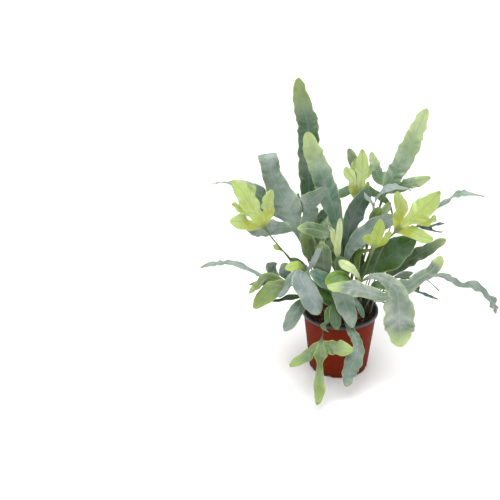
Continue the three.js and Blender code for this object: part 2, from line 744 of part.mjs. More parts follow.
// A lobe takes two steps of the margin, so it joins at the nearest station where both are free.
function takeStation(rachis, distance, side) {
  const inner = rachis.stations.map((_, i) => i).slice(1, -3);
  const isFree = (i) => !rachis.taken.has(`${side},${i}`) && !rachis.taken.has(`${side},${i + 1}`);
  const middle = nearestStation(rachis, distance, inner.filter(isFree));
  rachis.taken.add(`${side},${middle}`);
  rachis.taken.add(`${side},${middle + 1}`);
  return middle;
}

// The three margin points that a lobe grows from, ordered from its left to its right.
function lobeFoot(rachis, place, [x, y, z]) {
  const distance = distanceAt(rachis.ribbon, place);
  const close = rachis.stations[nearestStation(rachis, distance, [...rachis.stations.keys()])];
  const isRight = new Vector3(x, y, z).sub(close.point).dot(rightOf(close)) > 0;
  const middle = takeStation(rachis, distance, isRight ? 1 : -1);
  const run = isRight ? [middle + 1, middle, middle - 1] : [middle - 1, middle, middle + 1];
  const column = isRight ? 2 : 0;
  const row = run.map((i) => rachis.rows[i][column]);
  return { rachis, isRight, row, face: rachis.stations[middle].face };
}

// The move that takes a point of a lobe clear of the margin of the blade that carries it.
function clearingMove(sheet, { rachis, isRight }, point, clearance) {
  const isAhead = (at) => at.along.dot(at.point) > at.along.dot(point);
  const ahead = rachis.stations.findIndex(isAhead);
  if (ahead < 1) return new Vector3();
  const [back, front] = [rachis.stations[ahead - 1], rachis.stations[ahead]];
  const past = back.along.dot(point) - back.along.dot(back.point);
  const left = front.along.dot(front.point) - front.along.dot(point);
  const cut = (column) => {
    const [from, to] = [ahead - 1, ahead].map((i) => sheet.points[rachis.rows[i][column]]);
    return from.clone().lerp(to, past / (past + left));
  };
  const out = cut(isRight ? 2 : 0).sub(cut(1));
  const needed = out.length() + clearance;
  const short = needed - point.clone().sub(cut(1)).dot(out.normalize());
  return out.multiplyScalar(Math.max(0, short));
}

// Shifts a row of a lobe until half of it or more is clear, then narrows its inner side.
function clearRow(sheet, foot, row, half) {
  const shift = clearingMove(sheet, foot, sheet.points[row[1]], LOBE_GAP + half / 2);
  for (const i of row) {
    const point = sheet.points[i].add(shift);
    point.add(clearingMove(sheet, foot, point, LOBE_GAP));
  }
}

function addLobe(sheet, rachis, { at: place, points, tipFace }, phase) {
  const foot = lobeFoot(rachis, place, points[0]);
  const [left, middle, right] = foot.row.map((i) => sheet.points[i]);
  const ribbon = makeRibbon([[...middle.toArray(), points[0][3]], ...points]);
  const tipFrom = ribbon.length - TIP_STEP;
  carryFaces(ribbon, foot.face, 0);
  if (tipFace) turnFaces(ribbon, new Vector3(...tipFace));
  const footHalf = right.distanceTo(left) / 2;
  const footAcross = right.clone().sub(left).normalize();
  let row = foot.row;
  for (const distance of [...evenSteps(0, tipFrom, BLADE_STEP).slice(1), tipFrom]) {
    const at = station(ribbon, distance);
    const grown = smoothstep(distance, 0, LOBE_BLEND);
    const across = footAcross.clone().lerp(rightOf(at), grown).normalize();
    const next = addRow(sheet, at, across, lerp(footHalf, at.half, grown), phase, grown);
    clearRow(sheet, foot, next, at.half);
    joinRows(sheet, row, next);
    row = next;
  }
  closeTip(sheet, row, addPoint(sheet, ribbon.curve.getPoint(1), BLADE_HALF_THICKNESS));
}

// The end of the stipe, straight below its foot.
function buriedEnd(foot) {
  const along = new Vector3(0, 0, 1);
  const point = foot.point.clone().setZ(SOIL_TOP - ROOT_DEPTH);
  return { distance: 0, point, along, face: squareTo(along, foot.face), width: foot.width };
}

// The strip along the midrib, from the end in the soil to the tip.
function addRachis(sheet, { root: [rootX, rootY], midrib, face }, phase) {
  const foot = [rootX, rootY, SOIL_TOP + ROOT_SHOW, 2 * STIPE_RADIUS];
  const ribbon = makeRibbon([foot, ...midrib]);
  const bladeFrom = distanceAt(ribbon, ribbon.widths.findLastIndex((width) => width <= LEAFY_FROM));
  const tipFrom = ribbon.length - TIP_STEP;
  const stipe = evenSteps(0, bladeFrom, STIPE_STEP);
  const blade = evenSteps(bladeFrom, tipFrom, BLADE_STEP);
  carryFaces(ribbon, new Vector3(...face), (bladeFrom + ribbon.length) / 2);
  const stations = [...stipe, ...blade, tipFrom].map((distance) => station(ribbon, distance));
  const end = buriedEnd(stations[0]);
  let row = addRow(sheet, end, rightOf(end), STIPE_RADIUS, phase, 0);
  const rows = [];
  for (const at of stations) {
    const grown = smoothstep(at.width, LEAFY_FROM, LEAFY_WHOLE);
    const next = addRow(sheet, at, rightOf(at), at.half, phase, grown);
    joinRows(sheet, row, next);
    rows.push(next);
    row = next;
  }
  closeTip(sheet, row, addPoint(sheet, ribbon.curve.getPoint(1), BLADE_HALF_THICKNESS));
  return { ribbon, stations, rows, taken: new Set() };
}

// One frond as a branching sheet: a strip along the midrib, and one that grows from it for each lobe.
function frondSheet(frond, phase) {
  const sheet = { points: [], halves: [], triangles: [] };
  const rachis = addRachis(sheet, frond, phase);
  frond.lobes.forEach((lobe, i) => addLobe(sheet, rachis, lobe, phase + LOBE_SHIFT * (i + 1)));
  return sheet;
}

function sheetNormals(sheet) {
  const normals = sheet.points.map(() => new Vector3());
  for (const corners of sheet.triangles) {
    const [p, q, r] = corners.map((i) => sheet.points[i]);
    const normal = q.clone().sub(p).cross(r.clone().sub(p));
    for (const i of corners) normals[i].add(normal);
  }
  return normals.map((normal) => normal.normalize());
}

function indexedGeometry(positions, index) {
  const geometry = new THREE.BufferGeometry();
  geometry.setAttribute('position', new THREE.Float32BufferAttribute(positions, 3));
  geometry.setIndex(index);
  geometry.computeVertexNormals();
  return geometry;
}

// Edges that only one triangle has, in that triangle's direction.
function openEdges(triangles) {
  const open = new Map();
  for (const [a, b, c] of triangles) {
    for (const [p, q] of [[a, b], [b, c], [c, a]]) {
      if (!open.delete(`${q},${p}`)) open.set(`${p},${q}`, [p, q]);
    }
  }
  return [...open.values()];
}

// Gives a sheet its two faces, split alike, and closes its outline with a rim.
function thicken(sheet) {
  const normals = sheetNormals(sheet);
  const count = sheet.points.length;
  const offset = (face) => sheet.points.flatMap((point, i) => {
    return point.clone().addScaledVector(normals[i], face * sheet.halves[i]).toArray();
  });
  const faces = sheet.triangles.flatMap(([a, b, c]) => [a, b, c, a + count, c + count, b + count]);
  const rim = openEdges(sheet.triangles).flatMap(([p, q]) => {
    return [q, p, p + count, q, p + count, q + count];
  });
  return indexedGeometry([...offset(1), ...offset(-1)], [...faces, ...rim]);
}

function toSolid(geometry) {
  const plain = geometry.clone();
  plain.deleteAttribute('normal');
  plain.deleteAttribute('uv');
  const merged = mergeVertices(plain);
  const vertProperties = new Float32Array(merged.attributes.position.array);
  const triVerts = new Uint32Array(merged.index.array);
  return new wasm.Manifold(new wasm.Mesh({ numProp: 3, vertProperties, triVerts }));
}

function toGeometry(solid) {
  const { vertProperties, triVerts } = solid.getMesh();
  return indexedGeometry(Array.from(vertProperties), Array.from(triVerts));
}

// The pot's section as [radius, height], from the middle underneath round to the middle of its floor.
function potOutline() {
  const lipFoot = POT_HEIGHT - LIP_HEIGHT;
  const mouth = SHOULDER_RADIUS - WALL + LIP_FLARE;
  return [
    [0, 0],
    [BASE_RADIUS - FOOT_ROUND, 0],
    [BASE_RADIUS, FOOT_ROUND],
    [SHOULDER_RADIUS, lipFoot - LIP_ROUND],
    [RIM_RADIUS - LIP_ROUND, lipFoot],
    [RIM_RADIUS, lipFoot + LIP_ROUND],
    [RIM_RADIUS, POT_HEIGHT - LIP_ROUND],
    [RIM_RADIUS - LIP_ROUND, POT_HEIGHT],
    [mouth, POT_HEIGHT],
    [mouth - LIP_ROUND, POT_HEIGHT - LIP_ROUND],
    [SHOULDER_RADIUS - WALL, lipFoot - LIP_FLARE],
    [BASE_RADIUS - WALL, FLOOR + CORNER],
    [BASE_RADIUS - WALL - CORNER, FLOOR],
    [0, FLOOR],
  ];
}

function potSolid() {
  const section = potOutline().map(([radius, height]) => new THREE.Vector2(radius, height));
  const body = toSolid(new THREE.LatheGeometry(section, POT_SIDES).rotateX(Math.PI / 2));
  const angles = evenSteps(0, FULL_TURN, FULL_TURN / DRAIN_NOTCHES);
  const notches = angles.map((angle) => drainNotch(angle + Math.PI / DRAIN_NOTCHES));
  return body.subtract(wasm.Manifold.union(notches));
}

// An arch through the foot of the wall and the edge of the floor, open on the outside.
function drainNotch(angle) {
  const length = 2 * NOTCH_DEPTH;
  const radius = NOTCH_WIDTH / 2;
  const arch = new THREE.CylinderGeometry(radius, radius, length, NOTCH_SIDES);
  arch.rotateZ(Math.PI / 2).scale(1, 1, NOTCH_HEIGHT / radius);
  return toSolid(arch.translate(BASE_RADIUS, 0, 0).rotateZ(angle));
}

function soilHeight(x, y) {
  return SOIL_LUMPS.reduce((height, [rise, lengthX, lengthY, shift]) => {
    const turnX = (FULL_TURN * x) / lengthX + shift;
    const turnY = (FULL_TURN * y) / lengthY;
    return height + rise * Math.sin(turnX) * Math.cos(turnY);
  }, SOIL_TOP);
}

// How far the soil reaches at a height, a little short of the flats of the pot's wall.
function soilReach(height) {
  const outside = lerp(BASE_RADIUS, SHOULDER_RADIUS, height / (POT_HEIGHT - LIP_HEIGHT));
  return (outside - WALL) * Math.cos(Math.PI / POT_SIDES) - FIT_GAP;
}

function soilRing(radius, heightAt) {
  return evenSteps(0, FULL_TURN, FULL_TURN / SOIL_SIDES).map((angle) => {
    const [x, y] = [radius * Math.cos(angle), radius * Math.sin(angle)];
    return [x, y, heightAt(x, y)];
  });
}

// A body of rings of points, each joined to the next, with a point at either end.
function ringBody(first, rings, last) {
  const sides = rings[0].length;
  const end = rings.length * sides + 1;
  const index = [];
  for (let j = 0; j < sides; j += 1) {
    const k = (j + 1) % sides;
    index.push(0, 1 + k, 1 + j, end, end - sides + j, end - sides + k);
    for (let i = 1; i < end - sides; i += sides) {
      index.push(i + j, i + k, i + sides + k, i + j, i + sides + k, i + sides + j);
    }
  }
  return indexedGeometry([first, ...rings.flat(), last].flat(), index);
}

function soilBody() {
  const bottom = FLOOR + FIT_GAP;
  const reach = soilReach(SOIL_TOP);
  const rings = [soilRing(soilReach(bottom) - CORNER, () => bottom)];
  for (let i = SOIL_RINGS; i > 0; i -= 1) {
    rings.push(soilRing((reach * i) / SOIL_RINGS, soilHeight));
  }
  return toSolid(ringBody([0, 0, bottom], rings, [0, 0, soilHeight(0, 0)]));
}

function stemRing(centre, along, radius) {
  const right = new Vector3(along.y, -along.x, 0).normalize();
  return evenSteps(0, FULL_TURN, FULL_TURN / RHIZOME_SIDES).map((angle) => {
    const point = centre.clone().addScaledVector(right, radius * Math.cos(angle));
    return [point.x, point.y, point.z - radius * Math.sin(angle)];
  });
}

// One creeping stem, with low rings of scales and rounded ends.
function rhizomeStem(points, radius) {
  const curve = new CatmullRomCurve3(points.map(([x, y]) => new Vector3(x, y, SOIL_TOP + RHIZOME_LIFT)));
  const end = radius / 2;
  const rings = [];
  for (let i = 0; i <= RHIZOME_STEPS; i += 1) {
    const share = i / RHIZOME_STEPS;
    const fromEnd = end + Math.min(share, 1 - share) * curve.getLength();
    const rounded = Math.sqrt(1 - Math.max(0, 1 - fromEnd / radius) ** 2);
    const scaly = 1 + SCALE_RELIEF * (i % 2 ? 1 : -1);
    rings.push(stemRing(curve.getPointAt(share), curve.getTangentAt(share), radius * rounded * scaly));
  }
  const first = curve.getPoint(0).addScaledVector(curve.getTangent(0), -end);
  const last = curve.getPoint(1).addScaledVector(curve.getTangent(1), end);
  return toSolid(ringBody(first.toArray(), rings, last.toArray()));
}

function rhizomeSolid(radius) {
  return wasm.Manifold.union(RHIZOME_STEMS.map((points) => rhizomeStem(points, radius)));
}

function stipeHoles() {
  const top = SOIL_TOP + HOLE_RISE;
  const bottom = SOIL_TOP - ROOT_DEPTH - FIT_GAP;
  return wasm.Manifold.union(FRONDS.map(({ root: [x, y] }) => {
    const hole = new THREE.CylinderGeometry(HOLE_RADIUS, HOLE_RADIUS, top - bottom, HOLE_SIDES);
    return toSolid(hole.rotateX(Math.PI / 2).translate(x, y, (top + bottom) / 2));
  }));
}

function addPiece(group, name, geometry, color, roughness) {
  const material = new THREE.MeshStandardMaterial({ color, roughness, metalness: 0 });
  const mesh = new THREE.Mesh(geometry, material);
  mesh.name = name;
  group.add(mesh);
}

function fern() {
  const group = new THREE.Group();
  const holes = stipeHoles();
  const room = rhizomeSolid(RHIZOME_RADIUS + FIT_GAP);
  addPiece(group, 'pot', toGeometry(potSolid()), COLOURS.pot, 0.5);
  addPiece(group, 'soil', toGeometry(soilBody().subtract(room).subtract(holes)), COLOURS.soil, 1);
  addPiece(group, 'rhizome', toGeometry(rhizomeSolid(RHIZOME_RADIUS).subtract(holes)), COLOURS.rhizome, 0.9);
  FRONDS.forEach((frond, i) => {
    addPiece(group, `frond_${frond.name}`, thicken(frondSheet(frond, i)), COLOURS[frond.tone], 0.7);
  });
  return group;
}

export default fern();
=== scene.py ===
import math
from functools import partial

import bmesh
import bpy
import numpy as np
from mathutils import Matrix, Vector, noise


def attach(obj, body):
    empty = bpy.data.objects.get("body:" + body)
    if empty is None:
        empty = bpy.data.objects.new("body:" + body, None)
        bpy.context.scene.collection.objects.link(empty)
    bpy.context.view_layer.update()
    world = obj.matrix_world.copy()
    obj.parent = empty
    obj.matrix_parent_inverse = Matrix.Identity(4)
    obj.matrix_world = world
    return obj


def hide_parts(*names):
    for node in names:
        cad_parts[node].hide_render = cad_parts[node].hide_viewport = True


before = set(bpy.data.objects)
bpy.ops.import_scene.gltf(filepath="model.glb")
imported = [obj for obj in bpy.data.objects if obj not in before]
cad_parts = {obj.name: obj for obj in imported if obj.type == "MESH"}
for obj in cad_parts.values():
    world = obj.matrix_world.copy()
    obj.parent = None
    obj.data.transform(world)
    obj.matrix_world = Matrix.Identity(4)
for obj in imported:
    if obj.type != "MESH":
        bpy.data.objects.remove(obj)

# Looks of a blue star fern in its nursery pot. Finished meshes are in metres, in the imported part's frame:
# origin in the middle of the pot's underside, +Z up and -Y the front.
bl_info = {
    "name": "Blue star fern in its pot",
    "version": (1, 0, 0),
    "blender": (4, 5, 0),
    "location": "3D View > Sidebar > Fern",
    "description": "Makes the pot, soil, rhizome and fronds of a blue star fern, and a plain studio",
    "category": "Object",
}

MM = 0.001
FULL_TURN = 2 * math.pi


def linear(code):
    """The linear colour, with full alpha, of an sRGB hex value."""
    parts = [int(code[i : i + 2], 16) / 255 for i in (1, 3, 5)]
    return (*(c / 12.92 if c <= 0.04045 else ((c + 0.055) / 1.055) ** 2.4 for c in parts), 1.0)


# The pot, in millimetres. It stands on a ring round its foot, and the middle of the foot is lifted off the
# table. A rounding takes up at most a share of each side of its corner.
POT_HEIGHT = 100
RIM_RADIUS = 60
SHOULDER_RADIUS = 57
BASE_RADIUS = 46
LIP_HEIGHT = 4.5
WALL = 1.2
FLOOR = 1.6
FOOT_LIFT, FOOT_RING, FOOT_SLOPE = 0.9, 7, 2
DRAIN_NOTCHES = 8
NOTCH_WIDTH = 11
NOTCH_HEIGHT = 5
NOTCH_DEPTH = 7
NOTCH_SIDES = 24
CORNER_POINTS, CORNER_SHARE = 6, 0.45
CREASE_ANGLE = 40
DUST = "#4a3a2e"

# The soil and the rhizome, in millimetres. A wave of the soil's top is (height, length along x, length along
# y, shift), what is rough has lumps of (size, height), and a stem of the rhizome is its points of (x, y).
SOIL_TOP = 90
SOIL_WAVES = ((0.65, 30, 33, 1.3), (0.5, 11, 14, 2))
SOIL_GAP, SOIL_LIFT = 0.25, 0.6
SOIL_HEIGHTS = (6, 30, 60, 87)
SOIL_LUMPS = (6, 1.1)
SOIL_RINGS, SOIL_SIDES = 44, 150
EDGE_WIDTH, EDGE_FALL = 5, 1.4
RHIZOME_RADIUS = 4.5
RHIZOME_LIFT = 0.5
RHIZOME_LUMPS = (4, 0.35)
RHIZOME_STEMS = (
    ((-30, -4), (-16, 0), (-4, -6), (10, -8), (24, -4)),
    ((-4, -6), (4, 2), (8, 12), (12, 22), (8, 34)),
)
STEM_RINGS, STEM_SIDES = 60, 24

# The fronds, in millimetres: the stipe and how it stands in the soil, from which width on it is partly and
# wholly blade, the steps along it, and how much of a lobe blends into the blade that carries it
STIPE_RADIUS = 1
ROOT_DEPTH = 12
ROOT_SHOW = 2
LEAFY_FROM, LEAFY_WHOLE = 2.5, 8
STIPE_STEP = 28
BLADE_STEP = 10
TIP_STEP = 2.5
CURVE_SAMPLES = 200
LOBE_BLEND = 20
LOBE_GAP = 1

# The form of a blade. Heights and the roundness of the tip are shares of its width, shifts are angles, and
# rates are beside the wave that lifts the margin, whose length is in millimetres.
TIP_ROUND = 0.6
WAVE_LENGTH = 42
WAVE_LIFT = 0.15
BLADE_ARCH = 0.1
RIGHT_SHIFT = 2.2
LOBE_SHIFT = 1.7
MARGIN_SWELL = 0.055
SWELL_RATE = 1.3
CRINKLE = 0.1
CRINKLE_RATE = 2.3

# The pleats of a blade: their slant, how steeply they rise to the margin, and how much and how quickly their
# height and their length vary
PLEAT_SLANT = 0.6
PLEAT_RISE = 1.3
HEIGHT_VARIES, HEIGHT_RATE = 0.7, 0.23
LENGTH_VARIES, LENGTH_RATE = 1.4, 0.31

# The lower share of a blade where the bloom is thin
BASAL_SHARE = 0.5

# Columns of a blade's sheet, from its left margin to its right one, and how far the sheet is from a branch
# of the midrib where it has none
SIDES = np.array([-1, -0.5, 0, 0.5, 1])
NO_BRANCH = 100

# The studio: the floor in millimetres, and the camera and the softboxes, with their widths, in metres
FLOOR_REACH, FLOOR_DROP = 6000, 0.2
CAMERA_PLACE = (-0.141, -1.774, 1.1265)
CAMERA_TILT = 62.5
CAMERA_LENS, SENSOR_WIDTH = 94.1, 36
LIT_PLACE = (0, 0, 0.22)
SOFTBOXES = {"key": ((-0.9, -1.8, 3.0), 1.6), "fill": ((3.6, -2.2, 2.4), 2.6), "top": ((0.1, 0.1, 3.6), 4.0)}

# Tones of the fronds: the blade's colour, its colour where the growth is new, its ribs' colour, and how the
# new growth is spread: its least share, from where to where along a lobe it comes in, and its share at the
# margin
TONES = {
    "green": ("#546c50", "#93aa5d", "#8aa07c", (0, 0.78, 1.05, 0.12)),
    "limetip": ("#6b8377", "#aec077", "#8da491", (0, 0.62, 1.05, 0.22)),
    "grey": ("#7a8a81", "#99ad80", "#98a697", (0, 0.85, 1.2, 0.15)),
    "lime": ("#a2b465", "#b3c57a", "#87a05a", (0.3, 0, 1, 0.3)),
    "paletip": ("#7a927d", "#bac994", "#93a889", (0, 0.35, 1, 0.2)),
    # dark is a green deepened as painted shade, for fronds deep in the plant or under others
    "dark": ("#3c5f33", "#78935a", "#5d7a55", (0, 0.8, 1.2, 0.12)),
    "blue": ("#7c8988", "#9aac84", "#9da9a3", (0, 0.85, 1.15, 0.2)),
    "darkgrey": ("#41554a", "#6f8764", "#667b6c", (0, 0.8, 1.2, 0.15)),
    "olive": ("#56743a", "#90aa58", "#7a935c", (0, 0.7, 1.2, 0.2)),
    "pale": ("#97ad8d", "#bccb99", "#a9baa0", (0.1, 0.2, 1, 0.3)),
    "bluelime": ("#838f87", "#b4c683", "#9eab9c", (0, 0.8, 0.98, 0.25)),
    "teal": ("#667e75", "#94ac7e", "#879d8e", (0, 0.8, 1.2, 0.2)),
    "limeedge": ("#587a3f", "#a5bf62", "#7f9c5a", (0, 0.85, 1.1, 0.5)),
    "limepale": ("#b3c48b", "#c6d3a0", "#a0b37c", (0.3, 0, 1, 0.4)),
    "limetips": ("#5d7352", "#8fa45c", "#738961", (0, 0.35, 1.05, 0.4)),
    "sage": ("#5d7363", "#8fa457", "#86a08a", (0, 0.72, 1.05, 0.15)),
    # slate is the grey darkened as painted shade, for fronds that lie in the shade of others
    "slate": ("#717f79", "#8fa176", "#8b9a8d", (0, 0.85, 1.2, 0.15)),
}


class Lobe:
    """A lobe of a frond, through points of (x, y, z, width). It grows from a place on the midrib that is
    counted in points from the root, 2.5 being halfway from point 2 to point 3, and turns along its length to
    face the way of tip_face, where it has one."""

    def __init__(self, at, *points, tip_face=None):
        self.at = at
        self.points = points
        self.tip_face = tip_face


class Frond:
    """A frond, in millimetres. Its root is (x, y) at the soil, and its midrib runs up from there through
    points of (x, y, z, width). Face is the way that the upper side looks at the middle of the blade. Wave is
    how strongly it ripples, and shade how much lighter or darker its colour is painted beside its tone:
    partly its own tone and partly painted light and shade for how much light reaches it among the others.
    Lead is how much sooner new growth comes in along its lobes than along its midrib."""

    def __init__(self, name, tone, face, root, midrib, *lobes, wave=1, shade=1, lead=1):
        self.name = name
        self.tone = tone
        self.face = face
        self.root = root
        self.midrib = midrib
        self.lobes = lobes
        self.wave = wave
        self.shade = shade
        self.lead = lead


